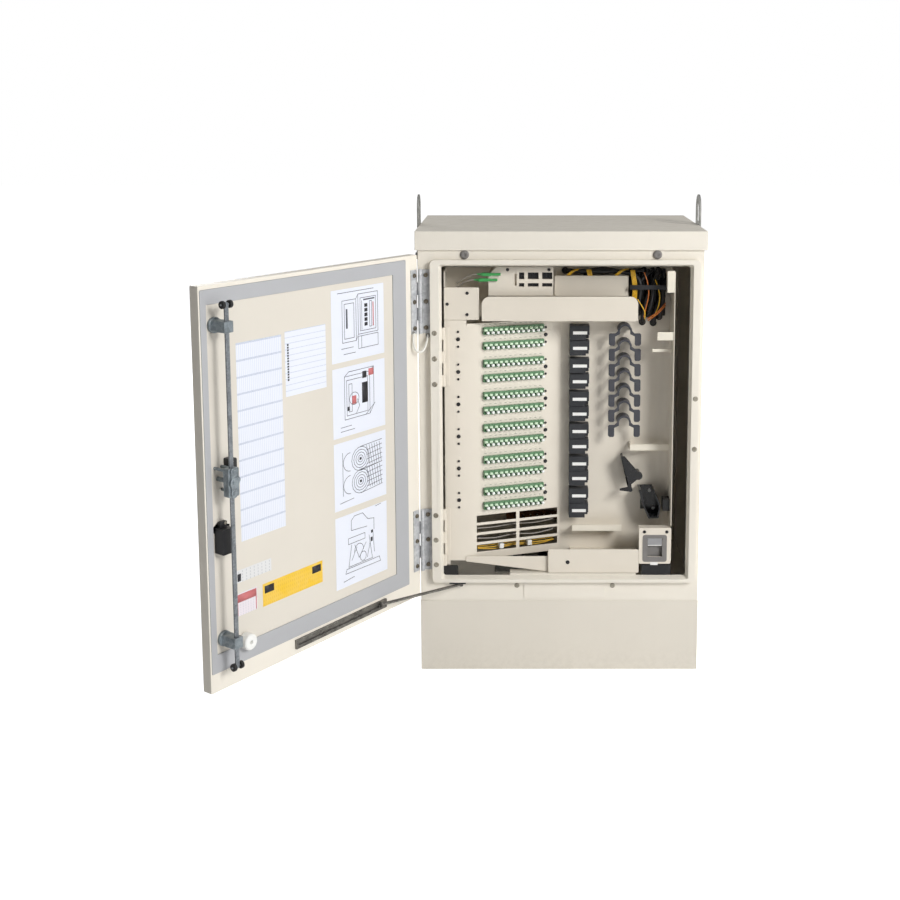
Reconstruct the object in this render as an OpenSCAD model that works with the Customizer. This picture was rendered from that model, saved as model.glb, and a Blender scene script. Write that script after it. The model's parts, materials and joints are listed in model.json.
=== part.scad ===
// Roadside fibre distribution cabinet with an open front door and a swing-out chassis.
// Millimetres, +Z up, front towards -Y. Origin: centre of the plinth's bottom face.

/* [Enclosure] */
// Outer width of the body
body_w = 711; // [690:1:853]
// Depth of the body from its front plate to its back
body_d = 460; // [400:1:552]
// Height of the body above the plinth
body_h = 906; // [900:1:1087]
// Sheet thickness of the body, plinth and roof
sheet_t = 2.5; // [2:0.1:3]
// Height of the plinth
plinth_h = 187; // [120:1:300]
// How far the plinth stands out from the body on each side
plinth_out = 1; // [0:0.5:4]
// Height of the roof cap
roof_h = 47; // [35:1:60]
// Overhang of the roof cap on every side
roof_hang = 7; // [3:0.5:12]
// Distance of the anchor holes from the sides of the body
anchor_in_x = 45.5; // [40:0.5:60]
// Distance of the anchor holes from the front and back of the body
anchor_in_y = 45; // [40:0.5:60]
// Radius of an anchor hole
anchor_r = 7; // [5:0.5:9]

/* [Door opening] */
// Width of the frame left of the opening
jamb_hinge = 58.5; // [54:0.5:66]
// Width of the frame right of the opening
jamb_latch = 33.5; // [28:0.5:40]
// Height of the frame below the opening
sill_h = 67; // [62:0.5:74]
// Height of the frame above the opening
head_h = 40.4; // [36:0.2:50]
// How far the sealing lip stands out of the front plate
lip_h = 17; // [14:0.5:17]
// Slope of the lip's inner side, measured across the opening
lip_slope = 6; // [4:0.5:8]

/* [Door] */
// How much narrower the door is than the body
door_less_w = 16; // [10:1:24]
// How much lower the door is than the body
door_less_h = 26; // [24:1:32]
// Thickness of the door
door_t = 25; // [20:1:32]
// Gap between the shut door and the front plate
door_gap = 20; // [20:0.5:24]
// Angle at which the stay holds the door open
door_open = 125.5; // [100:0.5:128]
// Thickness of the grey gasket
gasket_t = 2.6; // [2.2:0.1:2.8]
// Height of a hinge leaf
leaf_h = 160; // [140:1:180]
// Radius of a door hinge knuckle
knuckle_r = 5; // [4:0.5:5.5]
// Radius of a door hinge pin
hinge_pin_r = 2.5; // [2:0.1:3]

/* [Latch] */
// Distance of the rods from the free edge of the door
latch_inset = 40; // [39:0.5:42]
// Height of the latch hub above the plinth's bottom face
hub_z = 668; // [600:1:720]
// Width of a latch rod
rod_w = 10; // [8:0.5:11]
// Thickness of a latch rod
rod_t = 4; // [3:0.5:5]
// Radius of the drive pins' circle
throw_r = 9; // [8:0.5:9]
// Radius of a roller
roller_r = 8.3; // [7:0.1:8.5]
// Length of the outer handle
handle_len = 165; // [140:1:200]

/* [Chassis] */
// Gap between the chassis and the opening at the latch side
chassis_gap = 36; // [34:1:40]
// Depth of the chassis tray
chassis_depth = 83; // [75:1:88]
// Angle at which the adapter panel leans back
panel_lean = 19; // [15:0.5:21]
// Sheet thickness of the chassis
tray_t = 2; // [1.5:0.1:2.5]
// Number of adapter modules, each with two rows
modules = 6; // [4:1:6]
// Height of one adapter module
module_pitch = 83.5; // [80:0.5:84]
// Number of adapters in a row
row_count = 12; // [8:1:12]
// Width of one adapter
adapter_w = 13.5; // [12.5:0.1:13.5]

/* [Fits] */
// Radial clearance of every running fit
run_gap = 0.06; // [0.02:0.01:0.1]
// Clearance between pieces that pass each other
pass_gap = 0.5; // [0.4:0.1:0.8]

/* [Hidden] */
$fn = 48;
eps = 0.01;

// ---- places on the enclosure, measured from the plinth's bottom face and the front plate ----
half_w = body_w / 2;
front = -body_d / 2;
// heights above the plinth are written for this plinth height and move with the real one
datum_h = 187;
lift = plinth_h - datum_h;
body_z0 = datum_h;
body_z1 = body_z0 + body_h;
anchor_margin = 24.5;
foot_w = max(anchor_in_x, anchor_in_y) + anchor_margin;
roof_z1 = body_z1 + roof_h;
open_x0 = -half_w + jamb_hinge;
open_x1 = half_w - jamb_latch;
open_z0 = body_z0 + sill_h;
open_z1 = body_z1 - head_h;
lip_x0 = open_x0 - 28;
lip_x1 = open_x1 + 24;
lip_z0 = open_z0 - 14.5;
lip_z1 = open_z1 + 17.2;
lip_corner = 12;
open_corner = 6;
rib_x = lip_x0 + 10.5;
latch_rib_x = lip_x1 - 8.5;

// ---- door hinge, door frame of reference: x from the hinge axis, y from the hinge axis ----
hinge_x = -half_w + 6;
hinge_y = -door_gap / 2;
door_w = body_w - door_less_w;
door_h = body_h - door_less_h;
door_edge = -1;
inner_y = -door_gap - hinge_y;
door_z0 = body_z0 + 15;
door_z1 = door_z0 + door_h;
door_x1 = door_edge + door_w;
skin_t = 2;
rim_hinge = 43;
rim_latch = 4;
rim_top = 9;
rim_foot = 42;
band_hinge = 48;
band_latch = 16;
band_top = 32;
band_foot = 41;
hinge_zc = [open_z0 + 96.5, open_z1 - 87.5];
leaf_t = 3;
leaf_w = 19.5;
leaf_bolt_dz = leaf_h / 2 - 14;
leaf_bolt_x = 14;
leaf_bolt_r = 3;
leaf_head_r = 5.5;
leaf_head_h = 4.3;

// ---- latch ----
latch_x = door_x1 - latch_inset;
case_half_w = 14.6;
case_half_h = 31;
case_h0 = 30;
case_h1 = 46;
case_wall = 1.5;
drive_t = 3;
drive_r = 13;
drive_pin_r = 2;
rod_h0 = 37;
rod_mid = rod_h0 + rod_t / 2;
roller_w = 7;
roller_x = 10;
axle_r = 2;
roller_top_z = open_z1 - roller_r - 0.8;
roller_low_z = open_z0 + roller_r + 0.9;
guide_top_z = 997;
guide_low_z = 316;
guide_half = 12;
spindle_r = 5;
tongue_h0 = 25;
tongue_h1 = 29;
tongue_len = 34;
handle_plate_t = 3;
head_h0 = -door_t - 21;
lever_pin_h = -door_t - 14;
lever_pin_r = 2.5;
lever_half_w = 11;

// ---- door stay ----
stay_x = hinge_x + 97.5;
stay_y = -8;
stay_t_open = 160;
stay_slide_y = 2;
stay_arm_z = 231;
stay_arm_t = 3.5;
stay_arm_half = 5.5;
stay_eye_r = 3;
track_x0 = 134;
track_x1 = 446;
track_z0 = 216;
track_z1 = 238;
track_h = 5;
slot_half = 3.2;
// the open slider, seen from the cabinet, and the arm length that reaches it
slide_open = [
    hinge_x + stay_t_open * cos(door_open) + stay_slide_y * sin(door_open),
    hinge_y - stay_t_open * sin(door_open) + stay_slide_y * cos(door_open)
];
stay_len = norm([slide_open[0] - stay_x, slide_open[1] - stay_y]);
stay_angle = atan2(slide_open[1] - stay_y, slide_open[0] - stay_x);

// ---- chassis, measured from the front plate ----
ch_x0 = open_x0 + 5;
ch_x1 = open_x1 - chassis_gap;
ch_y0 = 14;
ch_back = ch_y0 + chassis_depth;
ch_z0 = open_z0 + 4.5;
ch_z1 = open_z1 - 15;
fold_x = ch_x0 + 56;
panel_z0 = ch_z0 + 29.5;
panel_z1 = 905;
back_z1 = 899;
panel_len = chassis_depth / sin(panel_lean);
panel_end_x = fold_x + chassis_depth / tan(panel_lean);
bend_r = 32;
ch_hinge_x = open_x0 + 5;
ch_hinge_y = 6;
ch_knuckle_r = 3;
ch_pin_r = 1.5;
ch_leaf_h = 150;
ch_hinge_zc = [open_z0 + 99, open_z0 + 568];
row_t0 = 43;
row_h = 19;
row_step = 38.3;
row_z0 = 420;
row_pitch = module_pitch;

// ---------------- helpers ----------------
module box(x0, x1, y0, y1, z0, z1) {
    translate([x0, y0, z0]) cube([x1 - x0, y1 - y0, z1 - z0]);
}

// rounded rectangle with true arcs
module rrect(x0, x1, z0, z1, r) {
    if (r <= 0) {
        translate([x0, z0]) square([x1 - x0, z1 - z0]);
    } else {
        translate([x0 + r, z0]) square([x1 - x0 - 2 * r, z1 - z0]);
        translate([x0, z0 + r]) square([x1 - x0, z1 - z0 - 2 * r]);
        for (cx = [x0 + r, x1 - r], cz = [z0 + r, z1 - r]) translate([cx, cz]) circle(r);
    }
}

// a flat shape drawn in X and Z, thick along Y
module along_y(y0, y1) {
    translate([0, y1, 0]) rotate([90, 0, 0]) linear_extrude(y1 - y0) children();
}

// a flat shape drawn in X and Y, thick along Z
module along_z(z0, z1) {
    translate([0, 0, z0]) linear_extrude(z1 - z0) children();
}

module plate(x0, x1, z0, z1, y0, y1, r = 0) {
    along_y(y0, y1) rrect(x0, x1, z0, z1, r);
}

module cyl_y(x, z, y0, y1, r) {
    translate([x, y1, z]) rotate([90, 0, 0]) cylinder(h = y1 - y0, r = r);
}

module cyl_x(y, z, x0, x1, r) {
    translate([x0, y, z]) rotate([0, 90, 0]) cylinder(h = x1 - x0, r = r);
}

module cyl_z(x, y, z0, z1, r) {
    translate([x, y, z0]) cylinder(h = z1 - z0, r = r);
}

// button head that faces -Y, its seat at y
module head_front(x, z, y, r, h, socket = true) {
    difference() {
        union() {
            cyl_y(x, z, y - h / 2, y, r);
            translate([x, y - h / 2, z]) rotate([90, 0, 0]) cylinder(h = h / 2, r1 = r, r2 = r * 0.7);
        }
        if (socket) translate([x, y - h / 3, z]) rotate([90, 0, 0]) cylinder(h = h, r = r * 0.38, $fn = 6);
    }
}

// everything that is measured from the front plate
module at_front() {
    translate([0, front, lift]) children();
}

// everything that stands on the plinth and is measured from the cabinet's middle
module on_plinth() {
    translate([0, 0, lift]) children();
}

// everything on the door: x along the door, y from the hinge axis, drawn shut, set at the open angle
module on_door() {
    at_front() translate([hinge_x, hinge_y, 0]) rotate([0, 0, -door_open]) children();
}

// distances h are measured inwards from the door's inner face
module on_face() {
    on_door() translate([0, inner_y, 0]) children();
}

// ---------------- enclosure ----------------
module plinth() {
    w = half_w + plinth_out;
    d0 = front - plinth_out;
    d1 = -front + plinth_out;
    color("#d9d3c4") difference() {
        box(-w, w, d0, d1, 0, plinth_h);
        box(-w + sheet_t, w - sheet_t, d0 + sheet_t, d1 - sheet_t, sheet_t, plinth_h - sheet_t);
        box(-w + foot_w, w - foot_w, d0 + foot_w, d1 - foot_w, -1, sheet_t + 1);
        box(-w + foot_w, w - foot_w, d0 + foot_w, d1 - foot_w, plinth_h - sheet_t - 1, plinth_h + 1);
        for (sx = [-1, 1], sy = [-1, 1])
            cyl_z(sx * (half_w - anchor_in_x), sy * (body_d / 2 - anchor_in_y), -1, sheet_t + 1, anchor_r);
    }
}

gland_x = 150;
gland_y = 60;
gland_yc = 40;

module body_shell() {
    color("#ece6d8") difference() {
        on_plinth() box(-half_w, half_w, front, -front, body_z0, body_z1);
        on_plinth() box(-half_w + sheet_t, half_w - sheet_t, front + sheet_t, -front - sheet_t,
            body_z0 + sheet_t, body_z1 - sheet_t);
        at_front() plate(open_x0, open_x1, open_z0, open_z1, -1, sheet_t + 1, open_corner);
        on_plinth() box(-gland_x, gland_x, gland_yc - gland_y, gland_yc + gland_y, body_z0 - 1,
            body_z0 + sheet_t + 1);
        at_front() for (p = chassis_bolts()) cyl_y(p[0], p[1], -1, sheet_t + 1, frame_bolt_r);
    }
}

// channel ring round the opening: outer wall, flat front and a sloping inner wall, open at the back
module opening_lip() {
    wall = sheet_t;
    color("#efe9db") at_front() difference() {
        plate(lip_x0, lip_x1, lip_z0, lip_z1, -lip_h, 0, lip_corner);
        funnel(0);
        difference() {
            plate(lip_x0 + wall, lip_x1 - wall, lip_z0 + wall, lip_z1 - wall, -lip_h + wall, 1,
                lip_corner - wall);
            funnel(wall);
        }
        for (p = chassis_bolts()) cyl_y(p[0], p[1], -lip_h - 1, 1, frame_bolt_r);
        for (p = latch_side_bolts()) cyl_y(p[0], p[1], -lip_h - 1, 1, frame_bolt_r);
    }
}

module funnel(grow) {
    hull() {
        plate(open_x0 - grow, open_x1 + grow, open_z0 - grow, open_z1 + grow, 1 - eps, 1, open_corner,
            $fn = 32);
        s = lip_slope + grow;
        plate(open_x0 - s, open_x1 + s, open_z0 - s, open_z1 + s, -lip_h - 1, -lip_h - 1 + eps,
            open_corner, $fn = 32);
    }
}

module roof_cap() {
    w = half_w + roof_hang;
    d0 = front - roof_hang;
    d1 = -front + roof_hang;
    flange = roof_hang + 22;
    color("#e9e3d6") on_plinth() difference() {
        box(-w, w, d0, d1, body_z1, roof_z1);
        box(-w + sheet_t, w - sheet_t, d0 + sheet_t, d1 - sheet_t, body_z1 + sheet_t, roof_z1 - sheet_t);
        box(-w + flange, w - flange, d0 + flange, d1 - flange, body_z1 - 1, body_z1 + sheet_t + 1);
    }
}

plug_x = 239;
plug_z = -11.6;
plug_r = 11.2;

module roof_plugs() {
    color("#77736f") at_front() for (s = [-1, 1]) difference() {
        head_front(s * plug_x, body_z1 + plug_z, 0, plug_r, 5, false);
        cyl_y(s * plug_x, body_z1 + plug_z, -6, -3.5, 4);
    }
}

eye_t = 5;
eye_half = 36;
eye_top = 78;
eye_low = 60;
eye_y = -40;

// flat lifting lug with a rounded top, on a pad that carries it clear of the roof
module lifting_eye() {
    x0 = half_w + roof_hang + 0.5;
    difference() {
        union() {
            box(x0, x0 + eye_t, -eye_half, eye_half, body_z1 - eye_low, roof_z1 + eye_top - eye_half);
            cyl_x(0, roof_z1 + eye_top - eye_half, x0, x0 + eye_t, eye_half);
            box(half_w, x0, -eye_half, eye_half, body_z1 - eye_low, body_z1 - 8);
        }
        cyl_x(0, roof_z1 + eye_top - eye_half, x0 - 1, x0 + eye_t + 1, eye_bore);
        box(x0 - 1, x0 + eye_t + 1, -eye_bore, eye_bore, roof_z1 + 8, roof_z1 + eye_top - eye_half);
        for (p = eye_bolt_points()) cyl_x(p[0], p[1], half_w - 1, x0 + eye_t + 1, 5);
    }
}

eye_bore = 20;
function eye_bolt_points() = [for (sy = [-1, 1]) [sy * 20, body_z1 - eye_low / 2 - 4]];

module lifting_eyes() {
    color("#9a9a94") translate([0, eye_y, lift]) for (s = [0, 1]) mirror([s, 0, 0]) lifting_eye();
}

module eye_bolts() {
    x1 = half_w + roof_hang + 0.5 + eye_t;
    color("#8d8f90") translate([0, eye_y, lift]) for (s = [0, 1]) mirror([s, 0, 0])
        for (p = eye_bolt_points()) {
        cyl_x(p[0], p[1], half_w, x1, 5);
        translate([x1, p[0], p[1]]) rotate([0, 90, 0]) cylinder(h = 6, r = 9, $fn = 6);
    }
}

cover_x0 = -91;
cover_x1 = 117;
cover_t = 1.9;

module base_cover() {
    color("#eae4d6") at_front() {
        plate(cover_x0, cover_x1, body_z0 + 6, lip_z0 - 0.6, -cover_t, 0, 2);
    }
}

frame_bolt_r = 3;
frame_head_r = 6.5;
frame_head_h = 2;
function chassis_bolts() = [for (zc = ch_hinge_zc, dz = [-65, 0, 65]) [rib_x, zc + dz]];
function latch_side_bolts() = [for (z = [590.5, 720]) [latch_rib_x, z]];
function foot_bolts() = [for (x = [-109, 136]) [x, body_z0 + 39.6]];

// dome bolts: six through the lip to the chassis hinges, two at the latch side, two in the foot band
module frame_bolts() {
    color("#b9b4a8") at_front() {
        for (p = chassis_bolts()) {
            head_front(p[0], p[1], -lip_h, frame_head_r, frame_head_h);
            cyl_y(p[0], p[1], -lip_h, sheet_t + ch_leaf_t, frame_bolt_r);
        }
        for (p = latch_side_bolts()) {
            head_front(p[0], p[1], -lip_h, frame_head_r, frame_head_h);
            cyl_y(p[0], p[1], -lip_h, 0, frame_bolt_r);
        }
        for (p = foot_bolts()) head_front(p[0], p[1], 0, frame_head_r, frame_head_h);
    }
}

sill_x0 = -127;
sill_x1 = 196;

// angle behind the sill that the shut chassis stands on
module sill_angle() {
    color("#e8e1d2") at_front() {
        box(sill_x0, sill_x1, sheet_t, sheet_t + 2, open_z0 - 28, open_z0 + 1.5);
        box(sill_x0, sill_x1, sheet_t, 34, open_z0 + 1.5, open_z0 + 3.5);
    }
}

// steel blocks behind the frame that the rollers run onto
module roller_keepers() {
    x0 = hinge_x + latch_x - 15;
    x1 = open_x1 + 6;
    color("#9fa1a0") at_front() {
        box(x0, x1, sheet_t, 10, open_z1 + 1, open_z1 + 26);
        box(x0, x1, sheet_t, 10, open_z0 - 26, open_z0 - 1);
    }
}

module gland_plate() {
    margin = 18;
    color("#c9c6bd") on_plinth() difference() {
        box(-gland_x - margin, gland_x + margin, gland_yc - gland_y - margin, gland_yc + gland_y + margin,
            body_z0 + sheet_t, body_z0 + 2 * sheet_t);
        for (p = gland_points()) cyl_z(p[0], p[1], body_z0, body_z0 + 3 * sheet_t, gland_r);
    }
}

gland_r = 16;
gland_bore = 9;
function gland_points() = [for (x = [-105, -35, 35, 105]) [x, gland_yc]];

module cable_glands() {
    z0 = body_z0 + sheet_t;
    color("#2b2b2c") on_plinth() for (p = gland_points()) difference() {
        union() {
            cyl_z(p[0], p[1], z0 - 18, z0 + sheet_t, gland_r);
            translate([p[0], p[1], z0 + sheet_t]) cylinder(h = 8, r = 21, $fn = 6);
            cyl_z(p[0], p[1], z0 + sheet_t + 8, z0 + 26, 15);
        }
        cyl_z(p[0], p[1], z0 - 19, z0 + 27, gland_bore);
    }
}

// copper bar on two insulators on the back wall
module ground_bar() {
    back = -front - sheet_t;
    z = 262;
    color("#b87944") on_plinth() difference() {
        union() {
            box(-140, 140, back - 31, back - 25, z, z + 25);
            for (x = [-120, 120]) cyl_y(x, z + 12.5, back - 25, back, 9);
        }
        for (i = [0:9]) cyl_y(-90 + i * 20, z + 12.5, back - 32, back - 24, 3.2);
    }
}

// ---------------- door hinges ----------------
knuckles = 5;
knuckle_gap = 0.4;
knuckle_l = leaf_h / knuckles;

// the knuckles and leaf of one hinge half, drawn round the axis at the origin
// leaf_y: the plane that the leaf is screwed to; dir: +1 if the leaf lies in front of that plane
module hinge_half(first, bore, leaf_y0, leaf_y1) {
    difference() {
        union() {
            for (k = [first:2:knuckles - 1]) {
                z0 = -leaf_h / 2 + k * knuckle_l + (k == 0 ? 0 : knuckle_gap / 2);
                z1 = -leaf_h / 2 + (k + 1) * knuckle_l - (k == knuckles - 1 ? 0 : knuckle_gap / 2);
                cyl_z(0, 0, z0, z1, knuckle_r);
                box(-1.5, 1.5, min(0, leaf_y0), max(0, leaf_y1), z0, z1);
                box(-1.5, knuckle_r + 1, leaf_y0, leaf_y1, z0, z1);
            }
            box(knuckle_r, knuckle_r + leaf_w, leaf_y0, leaf_y1, -leaf_h / 2, leaf_h / 2);
        }
        cyl_z(0, 0, -leaf_h, leaf_h, bore);
        for (dz = [-1, 0, 1]) cyl_y(leaf_bolt_x, dz * leaf_bolt_dz, leaf_y0 - 1, leaf_y1 + 1, leaf_bolt_r);
    }
}

module hinge_leaves_fixed() {
    color("#a9acae") at_front() for (zc = hinge_zc) {
        translate([hinge_x, hinge_y, zc]) hinge_half(0, hinge_pin_r, -hinge_y - leaf_t, -hinge_y);
    }
}

module hinge_leaves_moving() {
    color("#9ea1a3") on_door() for (zc = hinge_zc) {
        translate([0, 0, zc]) hinge_half(1, hinge_pin_r + run_gap, inner_y, inner_y + leaf_t);
    }
}

module hinge_pins() {
    color("#8b8e90") at_front() for (zc = hinge_zc) {
        cyl_z(hinge_x, hinge_y, zc - leaf_h / 2, zc + leaf_h / 2, hinge_pin_r);
        cyl_z(hinge_x, hinge_y, zc + leaf_h / 2, zc + leaf_h / 2 + 2, hinge_pin_r + 1.5);
    }
}

module hinge_bolts_fixed() {
    color("#8f8878") at_front() for (zc = hinge_zc, dz = [-1, 0, 1]) {
        head_front(hinge_x + leaf_bolt_x, zc + dz * leaf_bolt_dz, -leaf_t, leaf_head_r, leaf_head_h);
        cyl_y(hinge_x + leaf_bolt_x, zc + dz * leaf_bolt_dz, -leaf_t, 0, leaf_bolt_r);
    }
}

module hinge_bolts_moving() {
    color("#8f8878") on_door() for (zc = hinge_zc, dz = [-1, 0, 1]) {
        translate([leaf_bolt_x, inner_y + leaf_t, zc + dz * leaf_bolt_dz]) rotate([0, 0, 180])
            head_front(0, 0, 0, leaf_head_r, leaf_head_h);
        cyl_y(leaf_bolt_x, zc + dz * leaf_bolt_dz, inner_y, inner_y + leaf_t, leaf_bolt_r);
    }
}

// ---------------- chassis hinges ----------------
ch_leaf_t = 2.5;
ch_knuckles = 5;

module chassis_hinge_half(first, bore) {
    kl = ch_leaf_h / ch_knuckles;
    difference() {
        for (k = [first:2:ch_knuckles - 1]) {
            z0 = -ch_leaf_h / 2 + k * kl + (k == 0 ? 0 : knuckle_gap / 2);
            z1 = -ch_leaf_h / 2 + (k + 1) * kl - (k == ch_knuckles - 1 ? 0 : knuckle_gap / 2);
            cyl_z(0, 0, z0, z1, ch_knuckle_r);
            if (first == 0) {
                box(-8, 0, -ch_hinge_y + sheet_t, -ch_hinge_y + sheet_t + ch_leaf_t, z0, z1);
            } else {
                box(0, 2.2, 0, ch_y0 - ch_hinge_y, z0, z1);
            }
        }
        cyl_z(0, 0, -ch_leaf_h, ch_leaf_h, bore);
    }
}

module chassis_hinges_fixed() {
    y0 = sheet_t;
    color("#c4c0b4") at_front() for (zc = ch_hinge_zc) difference() {
        union() {
            translate([ch_hinge_x, ch_hinge_y, zc]) chassis_hinge_half(0, ch_pin_r - eps);
            box(rib_x - 9, ch_hinge_x - 7, y0, y0 + ch_leaf_t, zc - ch_leaf_h / 2, zc + ch_leaf_h / 2);
            cyl_z(ch_hinge_x, ch_hinge_y, zc - ch_leaf_h / 2, zc + ch_leaf_h / 2, ch_pin_r);
        }
        for (p = chassis_bolts()) cyl_y(p[0], p[1], y0 - 1, y0 + ch_leaf_t + 1, frame_bolt_r);
    }
}

module chassis_hinges_moving() {
    color("#c4c0b4") at_front() for (zc = ch_hinge_zc) {
        translate([ch_hinge_x, ch_hinge_y, zc]) chassis_hinge_half(1, ch_pin_r + run_gap);
        translate([0, 0, zc]) box(ch_x0, ch_x0 + 12, ch_y0 - 2, ch_y0, -ch_leaf_h / 2, ch_leaf_h / 2);
    }
}

keeper_x0 = 210;
keeper_x1 = ch_x1 - 1;
keeper_z1 = ch_z0 + 22;

// black bracket on the sill under the chassis latch
module chassis_keeper() {
    z0 = open_z0 - 26;
    z1 = keeper_z1;
    color("#222224") at_front() difference() {
        union() {
            box(keeper_x0, keeper_x1, sheet_t, 8, z0, z1);
            box(keeper_x0, keeper_x1, sheet_t, 34, z1 - 12, z1);
        }
        box(bolt_x - 7, bolt_x + 7, bolt_y0 - 3, bolt_y1 + 3, z1 - 8, z1 + 1);
    }
}

// black rest block in the lower hinge-side corner
module corner_block() {
    color("#161617") at_front() plate(open_x0 - 8, open_x0 + 37, open_z0 - 8, ch_z0 + 18, sheet_t, 13, 4);
}

// ---------------- door stay ----------------
module stay_bracket() {
    z0 = stay_arm_z + stay_arm_t + 1;
    color("#3a3a3b") at_front() {
        box(stay_x - 30, stay_x + 12, -15, 0, z0, z0 + 3);
        cyl_z(stay_x, stay_y, stay_arm_z - 3, z0, stay_eye_r);
        cyl_z(stay_x, stay_y, stay_arm_z - 3, stay_arm_z - 0.6, stay_eye_r + 2);
    }
}

module stay_arm() {
    color("#a8aaa8") at_front() translate([stay_x, stay_y, stay_arm_z]) rotate([0, 0, stay_angle])
        difference() {
        union() {
            linear_extrude(stay_arm_t) {
                circle(stay_arm_half);
                translate([0, -stay_arm_half]) square([stay_len, 2 * stay_arm_half]);
                translate([stay_len, 0]) circle(stay_arm_half);
            }
            translate([stay_len, 0, stay_arm_t]) cylinder(h = 3, r1 = 4, r2 = 2.5);
        }
        translate([0, 0, -1]) cylinder(h = stay_arm_t + 2, r = stay_eye_r + run_gap);
    }
}

// slotted channel along the foot of the door
module stay_track() {
    zc = (track_z0 + track_z1) / 2;
    wall = 1.5;
    color("#8f8d88") on_face() difference() {
        plate(track_x0, track_x1, track_z0, track_z1, 0, track_h, 2);
        plate(track_x0 + 4, track_x1 - 4, track_z0 + wall, track_z1 - wall, wall, track_h - wall, 0);
        plate(track_x0 + 7, track_x1 - 7, zc - slot_half, zc + slot_half, track_h - wall - 1, track_h + 1,
            slot_half);
    }
}

// shoe inside the channel, neck through the slot and a tab under the arm's end
module stay_slider() {
    zc = (track_z0 + track_z1) / 2;
    arm_h = stay_slide_y - inner_y;
    color("#b6b8b6") on_face() {
        plate(stay_t_open - 9, stay_t_open + 9, zc - 8, zc + 8, 2, 3, 2);
        cyl_y(stay_t_open, zc, 2.5, track_h + 1, slot_half - 0.5);
        plate(stay_t_open - 5.5, stay_t_open + 5.5, zc - 5, zc + 3, track_h + 0.5, track_h + 3, 1);
        box(stay_t_open - 5, stay_t_open + 5, track_h + 0.5, arm_h + 4, zc - 1, zc + 2);
        cyl_z(stay_t_open, arm_h, zc + 1, stay_arm_z - 0.5, 2.5);
    }
}

// ---------------- ground strap ----------------
function spline(p, t) = let (
    n = len(p) - 1,
    i = min(floor(t * n), n - 1),
    u = t * n - i,
    a = p[max(i - 1, 0)], b = p[i], c = p[i + 1], d = p[min(i + 2, n)]
) 0.5 * ((2 * b) + (c - a) * u + (2 * a - 5 * b + 4 * c - d) * u * u + (3 * b - a - 3 * c + d) * u * u * u);

// a tube of the given radius swept along a smooth curve through the points
module tube(points, r, rings, sides = 8) {
    path = [for (i = [0:rings]) spline(points, i / rings)];
    ring = [for (i = [0:rings]) let (
        dir = path[min(i + 1, rings)] - path[max(i - 1, 0)],
        t = dir / norm(dir),
        ref = abs(t[2]) < 0.85 ? [0, 0, 1] : [0, 1, 0],
        n = cross(t, ref) / norm(cross(t, ref)),
        b = cross(t, n)
    ) [for (k = [0:sides - 1]) path[i] + r * (cos(360 * k / sides) * n + sin(360 * k / sides) * b)]];
    points_all = [for (a = ring) for (b = a) b];
    side_faces = [for (i = [0:rings - 1], k = [0:sides - 1])
        [i * sides + k, (i + 1) * sides + k, (i + 1) * sides + (k + 1) % sides, i * sides + (k + 1) % sides]];
    first_cap = [[for (k = [0:sides - 1]) k]];
    last_cap = [[for (k = [sides - 1:-1:0]) rings * sides + k]];
    polyhedron(points = points_all, faces = concat(side_faces, first_cap, last_cap));
}

strap_r = 3;
// a spot on the open door, from the hinge axis: x along the door, h inwards from its inner face
function door_spot(x, h, z) = let (y = h + inner_y)
    [x * cos(door_open) + y * sin(door_open), y * cos(door_open) - x * sin(door_open), z];
strap_points = [door_spot(20, 6.44, 889), door_spot(23.4, 6.44, 876), door_spot(24.7, 9.8, 856),
    [-4.5, -20, 842], [8.5, -14, 846], [15.5, -4, 864], [18.5, 6.4, 880]];

module ground_strap() {
    color("#e6e4dc") at_front() translate([hinge_x, hinge_y, 0]) tube(strap_points, strap_r, 16);
}

// ---------------- door ----------------
win_x0 = door_edge + rim_hinge;
win_x1 = door_x1 - rim_latch;
win_z0 = door_z0 + rim_foot;
win_z1 = door_z1 - rim_top;

// outer pan: face, four sides and the rim folded inwards
module door_skin() {
    color("#ece6d8") on_face() difference() {
        plate(door_edge, door_x1, door_z0, door_z1, -door_t, 0, 3);
        plate(door_edge + skin_t, door_x1 - skin_t, door_z0 + skin_t, door_z1 - skin_t, -door_t + skin_t,
            -skin_t, 1);
        plate(win_x0, win_x1, win_z0, win_z1, -skin_t - 1, 1, 3);
        cyl_y(latch_x, hub_z, -door_t - 1, -door_t + skin_t + 1, spindle_r + pass_gap);
    }
}

liner_t = 1.5;

// inner sheet behind the rim
module door_liner() {
    lap = 3;
    color("#efe8d6") on_face() difference() {
        plate(door_edge + skin_t + 1, door_x1 - skin_t - 0.2, win_z0 - lap - 5, win_z1 + lap,
            -skin_t - liner_t, -skin_t, 1);
        cyl_y(latch_x, hub_z, -6, 1, spindle_r + pass_gap);
    }
}

module door_gasket() {
    g = 0.3;
    color("#a9adb1") on_face() difference() {
        plate(win_x0 + g, win_x1 - g, win_z0 + g, win_z1 - g, -skin_t, gasket_t - skin_t, 3);
        plate(win_x0 + band_hinge, win_x1 - band_latch, win_z0 + band_foot, win_z1 - band_top,
            -skin_t - 1, gasket_t, 2);
        for (z = [guide_top_z, guide_low_z]) cyl_y(latch_x, z, -skin_t - 1, gasket_t + 1, guide_disc_r + g);
    }
}

guide_disc_r = 17;

// two zinc guides: a round foot and a block with a slot for the rod
module rod_guides() {
    color("#aeb4b7") on_face() for (z = [guide_top_z, guide_low_z]) difference() {
        union() {
            cyl_y(latch_x, z, -skin_t, 5, guide_disc_r);
            plate(latch_x - guide_half, latch_x + guide_half, z - guide_half, z + guide_half, 4, 46, 2);
        }
        box(latch_x - rod_w / 2 - pass_gap, latch_x + rod_w / 2 + pass_gap, rod_h0 - pass_gap,
            rod_h0 + rod_t + pass_gap,
            z - guide_half - 1, z + guide_half + 1);
    }
}

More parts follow.
